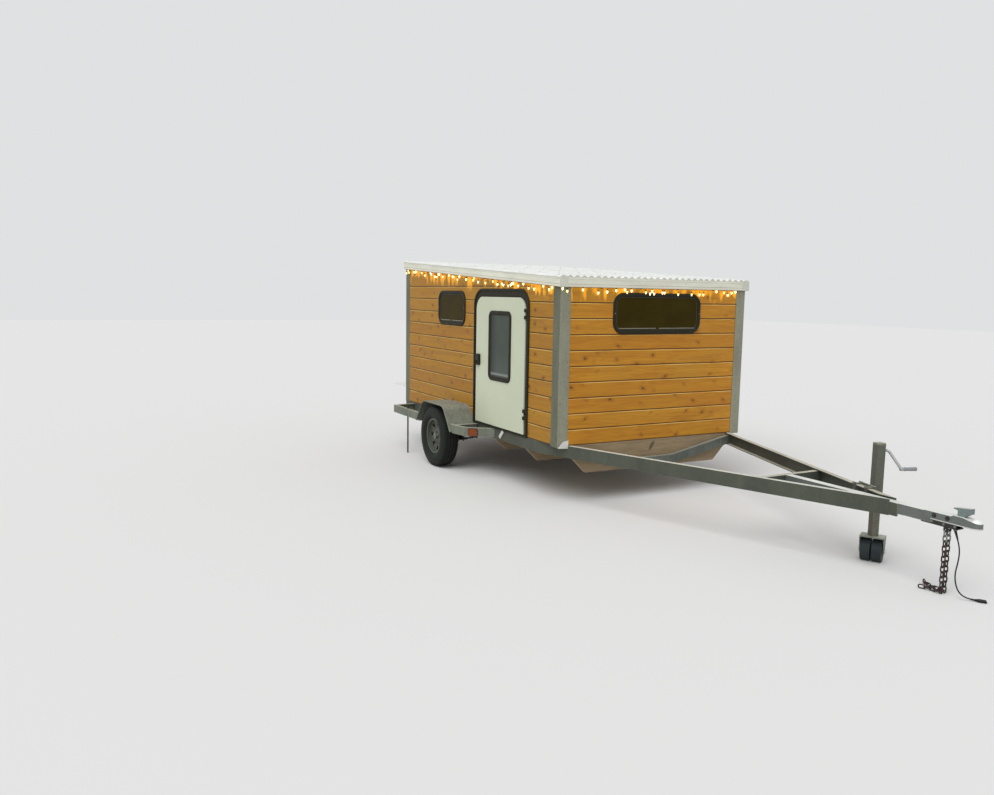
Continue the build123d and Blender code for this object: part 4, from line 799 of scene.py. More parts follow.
def add_lead():
    """The lead's smooth line through its route, with its tapered reliefs."""
    curve = bpy.data.curves.new("lead", "CURVE")
    curve.dimensions = "3D"
    curve.bevel_depth = lead_diameter / 2
    curve.bevel_resolution = 3
    curve.resolution_u = 10
    curve.use_fill_caps = True
    line = curve.splines.new("NURBS")
    line.points.add(len(lead_route) - 1)
    for point, (x, y, z) in zip(line.points, lead_route):
        point.co = (front_x + x, y, z, 1)
    line.order_u = 3
    line.use_endpoint_u = True
    curve.materials.append(looks["cord_rubber"])
    lead = bpy.data.objects.new("lead", curve)
    bpy.context.scene.collection.objects.link(lead)
    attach(lead, "chassis")
    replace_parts(lead, "wiring_lead")
    points = line_points(lead)
    reliefs = [
        tube(run, np.linspace(start, end, len(run)), 14)
        for run, start, end in ((points[:7], 0.0078, 0.0046), (points[-5:], 0.0046, 0.0058))
    ]
    relief = build("lead_reliefs", reliefs, "cord_rubber")


add_lead()

# Tyres
tyre_width = 0.175
tyre_radius = 0.305
shoulder_radius = 0.2885
wall_foot = 0.1785
bead_radius = 0.166
tread_half = 0.073
tread_from = 0.285
crown_drop = 0.0105
groove_depth = 0.0075
tread_pitches = 58


def tyre_shell():
    """A tyre lying on its side round Z.

    Across it: a sidewall that bulges as a half sine between bead and shoulder, with two fine
    ribs, then a tread that falls off with the cube of its distance from the middle, cut by four
    grooves. Around it: cross cuts over the first fifth of each pitch, that turn further round
    with their distance from the middle."""
    half = tyre_width / 2
    share = np.linspace(0, 1, 12)
    wall_radius = wall_foot + (shoulder_radius - wall_foot) * share
    wall_out = half - 0.0235 + 0.0225 * np.sin(pi * share**0.8) + 0.005 * share
    for place, reach, rib in ((0.17, 0.05, 0.0010), (0.80, 0.06, 0.0008)):
        wall_out += rib * (np.abs(share - place) < reach)
    steps_out = (tread_half, 0.0640, 0.0500, 0.0496, 0.0424, 0.0420, 0.0200, 0.0196, 0.0124, 0.0120, 0.0)
    tread_out = np.array(steps_out)
    tread_depth = np.array((0, 0, 0, 1, 1, 0, 0, 1, 1, 0, 0)) * groove_depth
    tread_radius = tyre_radius - crown_drop * (tread_out / tread_half) ** 3

    # From bead to middle, then mirrored to the other bead
    out = np.concatenate(((half - 0.030,), wall_out, tread_out))
    depth = np.concatenate((np.zeros(1 + len(share)), tread_depth))
    radius = np.concatenate(((bead_radius,), wall_radius, tread_radius))
    out = np.concatenate((out, -out[-2::-1]))
    depth = np.concatenate((depth, depth[-2::-1]))
    radius = np.concatenate((radius, radius[-2::-1]))

    phases = np.array((0.0, 0.03, 0.20, 0.23))
    angle = ((np.arange(tread_pitches)[:, None] + phases) * 2 * pi / tread_pitches).ravel()
    cut = np.tile((0, 1, 1, 0), tread_pitches)
    tread = radius > tread_from
    shoulder = np.abs(out) > 0.049
    between_grooves = tread & (depth == 0) & (np.abs(out) < tread_half + 0.0005)
    cross_depth = np.where(shoulder, 0.0050, 0.0022) * between_grooves
    lean = np.where(shoulder, 0.35, 0.9) * out / half * 2 * pi / tread_pitches
    reach = (radius - depth)[None] - cut[:, None] * cross_depth[None]
    turn = angle[:, None] + lean[None] * tread
    rings = np.stack((reach * np.cos(turn), reach * np.sin(turn), np.broadcast_to(out, reach.shape)), axis=-1)
    return ring_shell(rings, looped=True)


def on_wheel(shell, side):
    """A shell that lies round Z, placed in the middle of a wheel with Z pointing outwards."""
    hub = middle("tyre_" + side)
    return on_side(shell, hub, np.sign(hub[1]))


for side in ("right", "left"):
    tyre = build("tread_" + side, on_wheel(tyre_shell(), side), "rubber", "wheel_" + side, 28)
    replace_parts(tyre, "tyre_" + side)

# Roof: corrugated sheet
waves = 30
wave_pitch = 0.0678
wave_depth = 0.017
sheet_thick = 0.0016
sheet_lift = 0.0002
eave_out = 0.025
fascia_high = 0.076
sheet_half = waves / 2 * wave_pitch


def roof_wave(across):
    """Height of the corrugations across the roof: a cosine, with a trough at each edge."""
    return wave_depth / 2 * (1 - np.cos(2 * pi * (across + sheet_half) / wave_pitch))


def roof_shell():
    """Corrugated sheet: the roof's wave carried down its slope, with a thickness."""
    across = np.linspace(-sheet_half, sheet_half, waves * 12 + 1)
    normal = np.array((roof_slope, 0, 1)) / hypot(1, roof_slope)
    ends = [(x, 0, eave_level(x) + fascia_high) for x in (front_x + eave_out, rear_x - eave_out)]
    rings = []
    for end in np.linspace(*ends, 5):
        upper, lower = (
            end + np.outer(across, (0, 1, 0)) + np.outer(roof_wave(across) + lift, normal)
            for lift in (sheet_thick, sheet_lift)
        )
        rings.append(np.concatenate((upper, lower[::-1])))
    return ring_shell(rings)


sheet = build("roof_corrugations", roof_shell(), "roof_paint", crease=40)
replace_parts(sheet, "roof_sheet")

# String lights
wire_out = 0.012


def bulb_shell():
    """A mini bulb hanging under its origin: its radius follows an ellipse that closes at the tip."""
    share = np.linspace(0, 1, 6)
    radius = 0.0078 * np.sqrt(np.clip(1 - (1.25 * share - 0.25) ** 2, 0.03, 1))
    return lathe(np.stack((radius, -0.023 * share), axis=-1)[::-1], 8)


def socket_shell():
    """The socket above a bulb: a sleeve that narrows to the wire."""
    return lathe(((0.0045, -0.002), (0.0045, 0.008), (0.0018, 0.014)), 6)


def light_spots():
    """Places under the eave where the bulbs hang: uneven steps along each side, from seeded chance."""
    chance = np.random.default_rng(7)
    back, ahead, side = rear_x - wire_out, front_x + wire_out, half_width + wire_out
    corners = np.array(((back, side), (back, -side), (ahead, -side), (ahead, side), (back, side)))
    spots = []
    for start, end in zip(corners, corners[1:]):
        length = np.linalg.norm(end - start)
        steps = np.cumsum(chance.choice((0.022, 0.045, 0.09, 0.15), int(length / 0.05)))
        steps = steps[steps < length - 0.04]
        flat = start + np.outer(steps / length, end - start)
        drop = chance.choice((0.006, 0.014, 0.026, 0.036), len(steps))
        spots.append(np.column_stack((flat, eave_level(flat[:, 0]) - drop)))
    return np.concatenate(spots)


spots = light_spots()
build("string_bulbs", copies(bulb_shell(), spots), "bulb_glow")
build("string_sockets", copies(socket_shell(), spots), "cord_rubber")

# Chain links
link_wire = 0.008
link_half_long = 0.01975
link_half_wide = 0.0105


def link_shell():
    """A welded link lying flat: round bar carried along a stadium, whose ends are half circles."""
    angle = np.linspace(0, 2 * pi, 24, endpoint=False) + pi / 24
    straight = link_half_long - link_half_wide
    along = np.cos(angle) * link_half_wide + np.sign(np.cos(angle)) * straight
    path = np.stack((along, np.sin(angle) * link_half_wide, 0 * angle), axis=-1)
    return tube(path, link_wire / 2, 8, looped=True)


# Chains: links that hang, the gap between links, and where the rows hang
link_count = 12
link_clear = 0.0003
link_pitch = 0.0315 - link_clear
chain_x = front_x + 2.735
chain_half = 0.017
ground_link_z = 0.0003 + link_wire / 2 + link_half_wide
link_corner = link_wire / 2 / cos(pi / 6)
low_link_z = ground_link_z - link_corner - link_clear - link_wire / 2 + link_half_long
# Each chain: its side, and the turns in degrees before each pair of links on the ground
chain_table = ((1, (0, 18, 20)), (-1, (0, 20)))


def chain_shells():
    """Every link at its solid's place: two hanging rows, then flat and upright pairs on the ground."""
    link = link_shell()
    links = []
    for side, turns in chain_table:
        for k in range(link_count):
            spot = (chain_x, side * chain_half, low_link_z + (link_count - 1 - k) * link_pitch)
            along = np.array((0, 0, 1))
            links.append(placed(link, spot, along, np.cross(along, (k % 2, 1 - k % 2, 0))))
        heading = pi
        joint = np.array((chain_x - link_half_long + link_pitch / 2, side * chain_half, ground_link_z))
        for turn in np.radians(turns):
            heading -= side * turn
            along = np.array((cos(heading), sin(heading), 0))
            reach = link_corner * cos(pi / 6 - turn) + link_wire / 2 + link_clear
            if turn:
                joint = joint - along * (reach - (link_half_long - link_pitch / 2) * (1 + cos(turn)))
            for across in ((-along[1], along[0], 0), (0, 0, 1)):
                links.append(placed(link, joint + along * link_pitch / 2, along, np.cross(along, across)))
                joint = joint + along * link_pitch
    return links


links = chain_shells()
# The top two links of each chain: quick links whose lighter zinc is partly a painted glint
quick_glint = [0, 1, link_count + 6, link_count + 7]
for name, finish, is_quick_glint in (("chain_links", "chain_rust", False), ("quick_glint_links", "link_zinc", True)):
    chosen = [link for k, link in enumerate(links) if (k in quick_glint) == is_quick_glint]
    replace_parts(build(name, chosen, finish), "safety_chains")

# Roof edge: a closure strip under the sheet's waves, and screws with domed washers
closure_inset = 0.004
closure_thick = 0.012


def closure_shell(end_x, outward):
    """A strip under the roof sheet's end: its top follows the sheet's wave, its foot is straight."""
    across = np.linspace(-sheet_half, sheet_half, waves * 10 + 1)
    rings = []
    for depth in (0.0, -closure_thick):
        foot = np.outer(across, (0, 1, 0)) + (end_x + outward * depth, 0, eave_level(end_x) + fascia_high)
        crest = foot + np.outer(roof_wave(across), (0, 0, 1))
        rings.append(np.concatenate((crest, foot[::-1])))
    return ring_shell(rings)


closure_out = eave_out - closure_inset
closures = [closure_shell(front_x + closure_out, 1), closure_shell(rear_x - closure_out, -1)]
build("roof_closures", closures, "closure_paint")


def roof_screw_spots():
    """Screws on the crest of every third wave, in six rows down the slope."""
    across = -sheet_half + (np.arange(0, waves, 3) + 0.5) * wave_pitch
    along = np.linspace(rear_x + 0.06, front_x - 0.04, 6)
    x, y = (grid.ravel() for grid in np.meshgrid(along, across))
    return np.column_stack((x, y, eave_level(x) + fascia_high + wave_depth + sheet_thick))


domed_washer = lathe(((0.009, 0), (0.009, 0.0012), (0.006, 0.0022)), 10)
washer_screw = gathered([domed_washer, hexagon_bolt(0.008, 0.005)])
leaning_screw = placed(washer_screw, (0, 0, 0), (1, 0, -roof_slope), (roof_slope, 0, 1))
build("roof_screws", copies(leaning_screw, roof_screw_spots()), "bright_zinc")

# Fascia: a cover with an arched top at each front corner
cover_wide = 0.078
cover_high = 0.092
cover_thick = 0.003


def cover_outline():
    """A corner cover seen from outside: straight sides from its foot at zero, under half an ellipse."""
    angle = np.linspace(0, pi, 13)
    arch = np.stack((np.cos(angle), np.sin(angle)), axis=-1) * (cover_wide / 2, cover_wide / 3)
    arch[:, 1] += cover_high - cover_wide / 3
    return np.concatenate((((cover_wide / 2, -0.002),), arch, ((-cover_wide / 2, -0.002),)))[::-1]


cover = plate(cover_outline(), cover_thick)
cover_y = half_width + eave_out - cover_wide / 2 + 0.002
cover_x = front_x + eave_out
covers = [
    placed(cover, (cover_x, side * cover_y, eave_level(cover_x)), (0, 1, 0), (1, 0, 0)) for side in (-1, 1)
]
build("fascia_covers", covers, "cover_paint")

# Windows: crowned frames, gaskets, tracks, drains and screws
frame_section = (
    (0.0, -0.002), (0.0, 0.006), (0.002, 0.0095), (0.006, 0.0115), (0.014, 0.0120), (0.024, 0.0112),
    (0.029, 0.0085), (0.0315, 0.0040), (0.032, -0.020), (0.004, -0.020),
)
gasket_section = (
    (0.031, 0.001), (0.034, 0.0035), (0.039, 0.0035), (0.041, 0.0005), (0.041, -0.004), (0.031, -0.004),
)
window_radius = 0.100
wide_window = 0.937
side_window = 0.636
window_high = 0.346
front_window_z = front_top - 0.040 - window_high / 2
side_window_z = base_z + 0.914 + window_high / 2
side_window_x = front_x - 2.046
# Each window: its middle, the direction along its wall seen from outside, outwards, its width
window_table = (
    ((front_x, 0.0, front_window_z), (0, 1, 0), (1, 0, 0), wide_window),
    ((side_window_x, -half_width, side_window_z), (1, 0, 0), (0, -1, 0), side_window),
    ((side_window_x, half_width, side_window_z), (-1, 0, 0), (0, 1, 0), side_window),
)


def track_shells(wide):
    """The sliding pane's track near a window's foot: two bars end to end, whose outer ends turn up."""
    reach = wide / 2 - 0.052
    low = -window_high / 2 + 0.048
    tip = 0.010
    bars = []
    for outer, inner in ((-reach, -0.018), (reach, 0.018)):
        line = ((outer + np.sign(outer) * 0.012, low + tip, 0.001), (outer, low, 0.001), (inner, low, 0.001))
        bars.append(tube(rounded_line(line, 0.008), 0.0032, 8))
    return bars


drain = block(0.020, 0.010, 0.004, 0.001)
frames, gaskets, tracks, drains, frame_screws = [], [], [], [], []
for spot, along, outward, wide in window_table:
    window = (spot, along, outward)
    frames.append(placed(moulding(wide, window_high, window_radius, frame_section), *window))
    gaskets.append(placed(moulding(wide, window_high, window_radius, gasket_section), *window))
    tracks += [placed(bar, *window) for bar in track_shells(wide)]
    for share in (-0.21, 0.21):
        drain_spot = (share * wide, -window_high / 2 + 0.016, 0.011)
        drains.append(placed(shifted(drain, drain_spot), *window))
    for end in (-1, 1):
        screw_spot = (end * (wide / 2 - 0.016), 0, 0.0118)
        frame_screws.append(placed(shifted(screw_head(0.0045), screw_spot), *window))
window_rims = build("window_mouldings", frames, "frame_plastic", crease=30)
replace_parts(window_rims, "window_frames")
build("window_gaskets", gaskets, "gasket_rubber")
build("window_tracks", tracks, "track_plastic")
build("window_drains", drains, "frame_plastic")
build("window_screws", frame_screws, "lever_zinc")

# Door: its window's crowned rim and seal, the latch's paddle and key
door_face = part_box("door_panel")[0][1]
rim_low, rim_high = np.array(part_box("door_window_rim"))
rim_spot = ((rim_low[0] + rim_high[0]) / 2, door_face, (rim_low[2] + rim_high[2]) / 2)
rim_section = (
    (0.0, 0.0), (0.0, 0.004), (0.003, 0.0085), (0.009, 0.0112), (0.020, 0.0118), (0.029, 0.0095),
    (0.034, 0.0045), (0.035, -0.010), (0.003, -0.010),
)
seal_section = (
    (0.034, 0.000), (0.036, 0.003), (0.043, 0.003), (0.046, -0.001), (0.046, -0.004), (0.034, -0.004),
)
rim_wide, _, rim_tall = rim_high - rim_low
rim_shell, seal_shell = (
    on_side(moulding(rim_wide, rim_tall, 0.060, section), rim_spot, -1)
    for section in (rim_section, seal_section)
)
door_rim = build("door_window_moulding", rim_shell, "frame_plastic", "door", 30)
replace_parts(door_rim, "door_window_rim")
build("door_window_seal", seal_shell, "gasket_rubber", "door")
latch_low, latch_high = np.array(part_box("door_latch"))
latch_face = ((latch_low[0] + latch_high[0]) / 2, latch_low[1] + 0.0038, (latch_low[2] + latch_high[2]) / 2)
paddle = block(0.046, 0.052, 0.004, 0.0012)
key_ring = lathe(((0.0095, 0), (0.0095, 0.0016), (0.0080, 0.0024), (0.0030, 0.0024)), 20)
for name, shell, up, finish in (
    ("latch_paddle", paddle, 0.014, "jack_plastic"),
    ("latch_key", key_ring, -0.034, "black_steel"),
):
    build(name, on_side(shifted(shell, (0, up, 0)), latch_face, -1), finish, "door")

# Doorway: a rubber bead round the frame's outer edge, square at its feet
doorway_low, doorway_high = np.array(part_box("door_frame"))
arch_radius = 0.150
arch_angle = np.linspace(0, pi / 2, 12)
arch_cos, arch_sin = np.cos(arch_angle), np.sin(arch_angle)
bead_section = (
    (-0.007, 0.0), (-0.007, 0.009), (-0.004, 0.0135), (0.002, 0.0155), (0.009, 0.0145), (0.0125, 0.0105),
    (0.013, 0.003),
)
bead_rings = []
for inset, rise in bead_section:
    radius = arch_radius - inset
    head = doorway_high[2] - inset - radius
    foot = doorway_low[2] + max(inset, 0)
    ahead = doorway_high[0] - inset - radius + radius * arch_cos
    behind = doorway_low[0] + inset + radius - radius * arch_sin
    x = np.concatenate((ahead[:1], ahead, behind, behind[-1:]))
    z = np.concatenate(((foot,), head + radius * arch_sin, head + radius * arch_cos, (foot,)))
    bead_rings.append(np.column_stack((x, np.full(len(x), -half_width - rise), z)))
build("doorway_bead", ring_shell(bead_rings, looped=True), "frame_plastic", crease=30)

# Corner posts: a screw for each board on both flanges, and the bright gusset at the near foot
post_middle = 0.098 / 2
post_thick = 0.003
boards = 10
post_screws = []
for side in (-1, 1):
    for end_x, outward, count in ((front_x, 1, boards), (rear_x, -1, boards + 1)):
        for x, y, along, up in (
            (end_x + outward * post_thick, side * (half_width - post_middle), (0, 1, 0), (outward, 0, 0)),
            (end_x - outward * post_middle, side * (half_width + post_thick), (1, 0, 0), (0, side, 0)),
        ):
            spots = [(x, y, base_z + board_pitch * (board + 0.55)) for board in range(count)]
            post_screws.append(copies(placed(screw_head(0.0055), (0, 0, 0), along, up), spots))
build("post_screws", post_screws, "post_zinc")
gusset = plate(((-0.052, -0.034), (0.050, -0.040), (0.053, 0.030), (0.000, 0.018)), 0.003)
gusset_spot = (front_x + post_thick, -half_width + 0.055, base_z + 0.018)
build("post_gussets", placed(gusset, gusset_spot, (0, 1, 0), (1, 0, 0)), "bright_zinc")

# Rail: the bright slanted tab behind the door's foot
tab_foot = np.array((front_x - 0.985, -half_width - 0.004, base_z - 0.080))
tab_line = np.linspace(tab_foot, tab_foot + (0.082, -0.010, 0.072), 5)
tab_half = np.array((0.014, 0.0, -0.010))
tab_thick = np.array((0, 0.004, 0))
tab_corners = (-tab_half, tab_half, tab_half + tab_thick, tab_thick - tab_half)
tab_rings = np.stack([tab_line + corner for corner in tab_corners], axis=1)
build("rail_tab", ring_shell(tab_rings), "bright_zinc")

# Wheels: lug nuts, the hub's cap, the rim's bead and the valve
disc_out = 0.0255
rim_bead_radius = 0.1790
rim_bead_out = 0.0595
nut_circle = 0.0455
valve_turn = 1.1
valve_foot = 0.132
valve_lean = 0.25
nut_tip = lathe(((0.008, 0.013), (0.006, 0.0165), (0.002, 0.018)), 12)
wheel_nut = gathered([hexagon_bolt(0.019, 0.013), nut_tip])
cap_profile = (
    (0.0335, 0), (0.0335, 0.004), (0.0318, 0.006), (0.0318, 0.018), (0.029, 0.0235), (0.022, 0.0262),
    (0.010, 0.0272), (0.002, 0.0274),
)
valve_profile = (
    (0.0055, 0), (0.0050, 0.010), (0.0035, 0.012), (0.0035, 0.026), (0.0042, 0.027), (0.0042, 0.032),
    (0.002, 0.034),
)
valve_x, valve_y = cos(valve_turn), sin(valve_turn)
fittings = gathered([
    copies(wheel_nut, raised(circle(nut_circle, 5, 0.3), disc_out)),
    shifted(lathe(cap_profile, 32), (0, 0, disc_out)),
])
valve = placed(
    lathe(valve_profile, 12),
    (valve_foot * valve_x, valve_foot * valve_y, 0.020),
    (valve_x, valve_y, 0),
    (valve_lean * valve_x, valve_lean * valve_y, 1),
)
rim_bead = tube(raised(circle(rim_bead_radius, 72), rim_bead_out), 0.0042, 8, looped=True)
for side in ("right", "left"):
    body = "wheel_" + side
    build("wheel_fittings_" + side, on_wheel(fittings, side), "nut_zinc", body, 30)
    build("rim_bead_" + side, on_wheel(rim_bead, side), "arm_zinc", body)
    build("valve_" + side, on_wheel(valve, side), "cord_rubber", body)

# Fenders: a rolled bead along each outer edge, and bolts through the top
fender_x = front_x - 1.872
fender_out = half_width + 0.290
fender_top = base_z + 0.148
fender_low = base_z - 0.080
bead_thick = 0.0045
bead_corners = [
    (-0.416, 0, fender_low), (-0.245, 0, fender_top), (0.245, 0, fender_top), (0.416, 0, fender_low),
]
bead_line = rounded_line(bead_corners, 0.062, 10)
fender_parts = []
for side in (-1, 1):
    edge = bead_line + (fender_x, side * (fender_out - bead_thick), -0.0035)
    fender_parts.append(tube(edge, bead_thick, 8))
    bolt_spots = [(fender_x + x, side * (half_width + 0.045), fender_top) for x in (-0.19, -0.06, 0.06, 0.19)]
    fender_parts.append(copies(hexagon_bolt(0.013, 0.006), bolt_spots))
build("fender_beads", fender_parts, "arm_zinc")

# Coupler: a rolled lip round its foot
coupler_low, coupler_high = np.array(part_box("coupler"))
nose_radius = coupler_high[1]
lip_lift = 0.0022
lip_radius = 0.0034
nose_x = coupler_high[0] - nose_radius
nose_angle = np.linspace(-pi / 2, pi / 2, 17)
nose_line = np.stack((nose_x + nose_radius * np.cos(nose_angle), nose_radius * np.sin(nose_angle)), 1)
lip_back = np.linspace(coupler_low[0] + 0.048, nose_line[0, 0] - 0.01, 12)
lip_side = np.column_stack((lip_back, np.full(12, -nose_radius)))
lip_flat = np.concatenate((lip_side, nose_line, lip_side[::-1] * (1, -1)))
lip_line = raised(lip_flat, coupler_low[2] + lip_lift)
build("coupler_lip", tube(lip_line, lip_radius, 8), "lip_zinc")

# Ball dome: a pressed cap, two quarter circles turned round the ball's middle and joined at their foot
dome_lift = np.linspace(0.30, pi / 2 * 0.985, 14)
dome_arc = np.stack((np.cos(dome_lift), np.sin(dome_lift)), 1)
dome = lathe(np.concatenate((0.0350 * dome_arc[::-1], 0.0364 * dome_arc)), 48)
dome_spot = (nose_x, 0, coupler_high[2] - nose_radius)
build("ball_dome", placed(dome, dome_spot), "dome_zinc", crease=60)

# Tongue: the coupler's and the chain bracket's bolts, the joint's plates and their welds
tongue_side = 0.032
coupler_bolt_x, coupler_bolt_z = (3.012, 3.095), 0.466
bracket_bolt_x, bracket_bolt_z = (3.000, 3.074, 3.142), 0.4265
joint_z = 0.4378
joint_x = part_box("rail_right")[1][0]
joint_long = 0.062
joint_plate = block(joint_long, 0.083, 0.0045, 0.001)
weld_level = np.linspace(0.400, 0.477, 25)
weld_swell = 0.0034 * (1 + 0.22 * np.sin(np.arange(25) * 2.1))
coupler_bolts, bracket_bolts, joint_plates, welds = [], [], [], []
for side in (-1, 1):
    for x in coupler_bolt_x:
        bolt_spot = (x, side * nose_radius, coupler_bolt_z)
        coupler_bolts.append(on_side(hexagon_bolt(0.019, 0.009), bolt_spot, side))
    for x in bracket_bolt_x:
        bolt_spot = (x, side * tongue_side, bracket_bolt_z)
        bracket_bolts.append(on_side(hexagon_bolt(0.011, 0.006), bolt_spot, side))
    spot = (joint_x + joint_long / 2 - 0.004, side * tongue_side, joint_z)
    joint_plates.append(on_side(joint_plate, spot, side))
    weld_foot = (joint_x + joint_long - 0.003, side * (tongue_side + 0.0015), 0)
    weld_line = np.outer(weld_level, (0, 0, 1)) + weld_foot
    welds.append(tube(weld_line, weld_swell, 8))
build("coupler_bolts", coupler_bolts, "black_steel", crease=30)
build("bracket_bolts", bracket_bolts, "nut_zinc", crease=30)
build("joint_plates", joint_plates, "tongue_zinc")
build("joint_welds", welds, "arm_zinc")
gland_nut = lathe(((0.0116, 0), (0.0116, 0.0055), (0.0100, 0.0068)), 6)
gland_spot = (front_x + lead_route[0][0], lead_route[0][1], 0.4098)
gland = placed(gland_nut, gland_spot, (1, 0, 0), (0, 0, -1))
build("gland_nut", gland, "nut_zinc", crease=30)

# Plug: grip ribs across its top
plug_start, plug_end = (np.array(point) + (front_x, 0, 0) for point in lead_route[-2:])
plug_run = (plug_end - plug_start) / np.linalg.norm(plug_end - plug_start)
rib = block(0.0022, 0.025, 0.0016, 0.0005)
ribs = [
    placed(rib, plug_end + plug_run * reach + (0, 0, 0.0054), plug_run)
    for reach in (0.030, 0.035, 0.040, 0.045)
]
build("plug_ribs", ribs, "cord_rubber")

# Jack: a cap, the crank's bar, boss, knuckle and grip, clamp nuts and the fork's bolts
jack_spot = middle("jack_tube")
jack_turn = atan2(half_width, 2.7355)
jack_along = np.array((cos(jack_turn), -sin(jack_turn), 0))
jack_out = np.array((sin(jack_turn), cos(jack_turn), 0))
jack_half = 0.0285
crank_out = 0.0665
crank_throw = 0.149
crank_tip = 0.170
crank_level = 0.745
grip_level = 0.649


def on_jack(along, out, level):
    """A place on the jack, measured along its rail, out from the tube's middle, and up."""
    return np.array((jack_spot[0], jack_spot[1], level)) + jack_along * along + jack_out * out


def jack_part(shell, along, out, level, outward=1):
    """A shell placed on the jack with its Z axis pointing out from the rail, or in where it is -1."""
    return placed(shell, on_jack(along, out, level), jack_along, outward * jack_out)


cap_section = (
    (0.0580, -0.0140), (0.0612, -0.0125), (0.0612, -0.0015), (0.0590, 0.0015), (0.0500, 0.0030),
    (0.0200, 0.0036),
)
cap = ring_shell([raised(rounded_box(wide, wide, 0.007), rise) for wide, rise in cap_section])
build("jack_cap", placed(cap, on_jack(0, 0, 0.795), jack_along), "arm_zinc", crease=30)
boss_profile = ((0.0150, 0), (0.0150, 0.003), (0.0120, 0.005), (0.0110, 0.012), (0.0085, 0.014))
knuckle_profile = (
    (0.004, -0.011), (0.0095, -0.010), (0.0108, -0.007), (0.0108, 0.010), (0.0095, 0.014), (0.004, 0.015),
)
crank_corners = (
    on_jack(0, jack_half, crank_level),
    on_jack(0, crank_out, crank_level),
    on_jack(crank_throw, crank_out, grip_level),
    on_jack(crank_throw, crank_tip, grip_level),
)
crank_parts = [
    tube(rounded_line(crank_corners, 0.022, 8), 0.0092, 16),
    jack_part(lathe(boss_profile, 20), 0, jack_half, crank_level),
    jack_part(lathe(knuckle_profile, 16), crank_throw, crank_out, grip_level),
]
crank = build("crank_bar", crank_parts, "crank_zinc", crease=30)
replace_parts(crank, "jack_crank")
grip_profile = (
    (0.004, -0.0015), (0.0125, -0.0010), (0.0131, 0.0025), (0.0120, 0.0055), (0.0118, 0.0120),
    (0.0121, 0.0370), (0.0126, 0.0570), (0.0122, 0.0720), (0.0129, 0.0755), (0.0132, 0.0785),
    (0.0124, 0.0810), (0.004, 0.0820),
)
grip = jack_part(lathe(grip_profile, 20), crank_throw, 0.0885, grip_level)
build("crank_grip", grip, "grip_plastic", crease=40)
clamp_nut = hexagon_bolt(0.016, 0.009)
clamp_out = 0.0889
clamp_far, clamp_near = -0.117, 0.018
clamp_nuts = []
for level in (0.501, 0.383):
    clamp_nuts.append(jack_part(clamp_nut, clamp_far, -jack_half, level))
    clamp_nuts += [jack_part(clamp_nut, along, -clamp_out, level, -1) for along in (clamp_far, clamp_near)]
build("clamp_nuts", clamp_nuts, "link_zinc", crease=30)
caster_turn = radians(29)
caster_along = np.array((cos(caster_turn), sin(caster_turn), 0))
caster_middle = np.array((jack_spot[0], jack_spot[1], 0.075))
fork_bolts = [
    placed(hexagon_bolt(0.018, 0.009), caster_middle + 0.0785 * outwards, (0, 0, 1), outwards)
    for outwards in (-caster_along, caster_along)
]
build("fork_bolts", fork_bolts, "bright_zinc", "caster_fork", 30)

# Axle: clamps over it, plates and nuts under the springs, bolts through their eyes, and hubs
axle_x = middle("tyre_right")[0]
spring_y = 0.961
clamp_half = 0.029
clamp_foot = 0.236
clamp_head = 0.3365
clamp_reach = 0.033
nut_level = 0.2498
plate_level = 0.2500
eye_reach = 0.330
eye_level = 0.3322
eye_half = 0.0285
clamp_parts, eye_parts = [], []
for side in (-1, 1):
    for end in (-1, 1):
        x = axle_x + end * clamp_reach
        legs = (
            (x, -clamp_half, clamp_foot), (x, -clamp_half, clamp_head),
            (x, clamp_half, clamp_head), (x, clamp_half, clamp_foot),
        )
        clamp_parts.append(tube(rounded_line(legs, 0.012) + (0, side * spring_y, 0), 0.0055, 10))
        for across in (-clamp_half, clamp_half):
            nut_spot = (x, side * spring_y + across, nut_level)
            clamp_parts.append(placed(hexagon_bolt(0.017, 0.010), nut_spot, (1, 0, 0), (0, 0, -1)))
        for face in (-1, 1):
            eye_spot = (axle_x + end * eye_reach, side * (spring_y + face * eye_half), eye_level)
            eye_parts.append(on_side(hexagon_bolt(0.019, 0.010), eye_spot, side * face))
    clamp_parts.append(placed(block(0.100, 0.078, 0.008, 0.001), (axle_x, side * spring_y, plate_level)))
build("axle_clamps", clamp_parts, "nut_zinc", crease=30)
build("spring_bolts", eye_parts, "nut_zinc", crease=30)
hub_profile = (
    (0.030, -0.0430), (0.043, -0.0430), (0.046, -0.0400), (0.046, -0.0220), (0.040, -0.0180),
    (0.040, 0.0020), (0.064, 0.0060), (0.066, 0.0080), (0.066, 0.0110), (0.030, 0.0112),
)
hub_barrel = lathe(hub_profile, 32, looped=True)
for side in ("right", "left"):
    build("hub_" + side, on_wheel(hub_barrel, side), "black_steel", "wheel_" + side, 30)

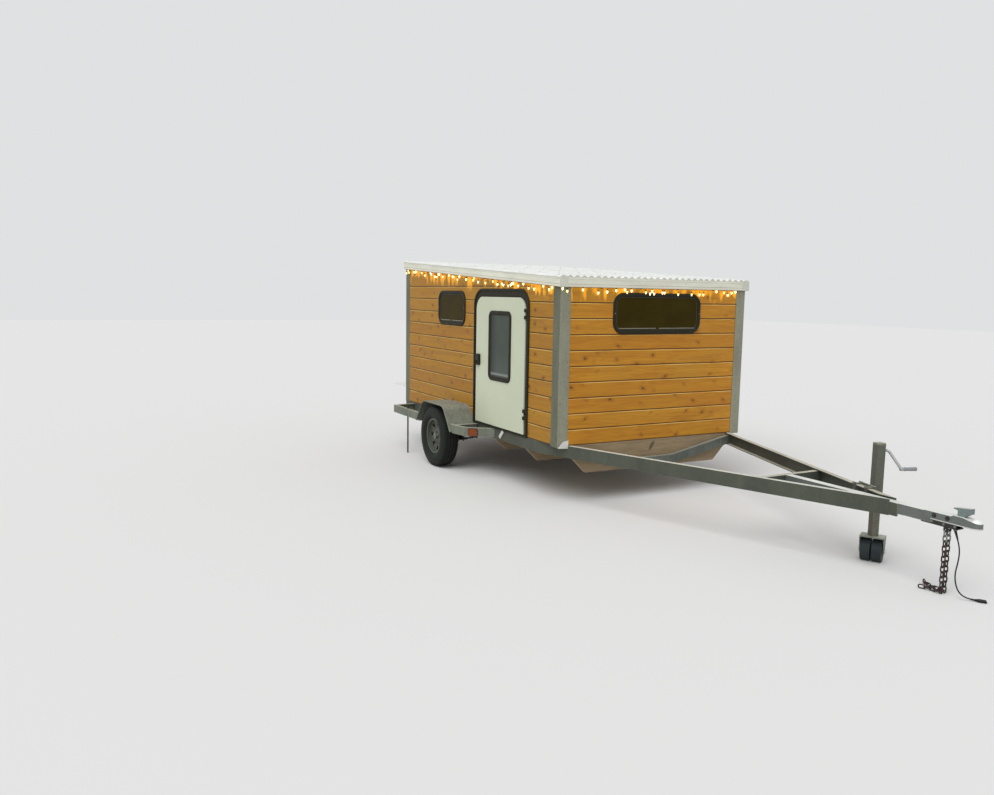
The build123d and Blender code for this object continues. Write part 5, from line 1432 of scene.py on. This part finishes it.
# Lamps: a rubber seat round each, ridges across the lens, and screws
amber_spot = np.array((front_x - 1.2059, -half_width - 0.1672, 0.441))
amber_out = np.array((0.8157, -0.5785, 0))
tail_spot = np.array((front_x - 3.0345, -half_width - 0.1185, 0.441))
tail_out = np.array((-0.9838, -0.1792, 0))
seat_section = ((-0.004, -0.0005), (-0.004, 0.0045), (-0.002, 0.0060), (0.004, 0.0060), (0.004, -0.0005))
seats, amber_ridges, red_ridges, lamp_screws = [], [], [], []
for spot, outward, wide, high, depth, ridges, levels in (
    (amber_spot, amber_out, 0.086, 0.062, 0.022, amber_ridges, (-0.010, 0.010)),
    (tail_spot, tail_out, 0.110, 0.070, 0.040, red_ridges, (-0.018, 0.0, 0.018)),
):
    for side in (1, -1):
        out = outward * (1, side, 1)
        place = spot * (1, side, 1)
        along = np.cross((0, 0, 1), out)
        lamp = (place, along, out)
        ridge = block(wide - 0.024, 0.006, 0.0022, 0.0008)
        seats.append(placed(moulding(wide, high, 0.010, seat_section), *lamp))
        ridges += [placed(shifted(ridge, (0, level, depth - 0.0004)), *lamp) for level in levels]
        for end in (-1, 1):
            screw_spot = (end * (wide / 2 - 0.007), 0, depth)
            lamp_screws.append(placed(shifted(screw_head(0.0035), screw_spot), *lamp))
build("lamp_seats", seats, "cord_rubber")
build("marker_ridges", amber_ridges, "amber")
build("tail_ridges", red_ridges, "red")
build("lamp_screws", lamp_screws, "link_zinc")

# Shelf: folded brackets under it, against the rear cross-member
bracket = plate(((0, 0), (-0.260, 0), (-0.250, -0.012), (-0.012, -0.078), (0, -0.078)), 0.005)
shelf_brackets = [on_side(bracket, (rear_x, y, base_z + 0.0005), -1) for y in (-0.62, 0.0, 0.62)]
build("shelf_brackets", shelf_brackets, "arm_zinc")

# Studio: light from all around, a soft key light, a plain floor and a pale backdrop
world = bpy.data.worlds.new("studio_world")
bpy.context.scene.world = world
world.use_nodes = True
sky = world.node_tree
ground = sky.nodes["Background"]
ground.inputs["Color"].default_value = (0.975, 0.985, 1.0, 1)
ground.inputs["Strength"].default_value = 0.60
backdrop = add_node(sky, "ShaderNodeBackground", (0.745, 0.755, 0.76, 1))
seen = add_node(sky, "ShaderNodeLightPath").outputs
bent = (seen["Is Glossy Ray"], seen["Is Transmission Ray"])
any_bent = add_node(sky, "ShaderNodeMath", *bent, operation="MAXIMUM").outputs[0]
shown = add_node(sky, "ShaderNodeMath", seen["Is Camera Ray"], any_bent, operation="MAXIMUM")
choice = add_node(sky, "ShaderNodeMixShader", shown.outputs[0], ground.outputs[0], backdrop.outputs[0])
sky.links.new(choice.outputs[0], sky.nodes["World Output"].inputs["Surface"])

sun = bpy.data.lights.new("key_light", "SUN")
sun.energy = 1.9
sun.angle = radians(50)
sun_object = bpy.data.objects.new("key_light", sun)
sun_object.rotation_euler = (radians(30), radians(22), radians(0))
bpy.context.scene.collection.objects.link(sun_object)

bpy.ops.mesh.primitive_grid_add(x_subdivisions=2, y_subdivisions=2, size=90, location=(0, 0, 0))
floor_sheet = bpy.context.object
floor_sheet.name = "studio_floor"
Recipe("pale_floor", (0.72, 0.72, 0.71), 0.9)
floor_sheet.data.materials.append(looks["pale_floor"])

bpy.context.scene.view_settings.view_transform = "Standard"
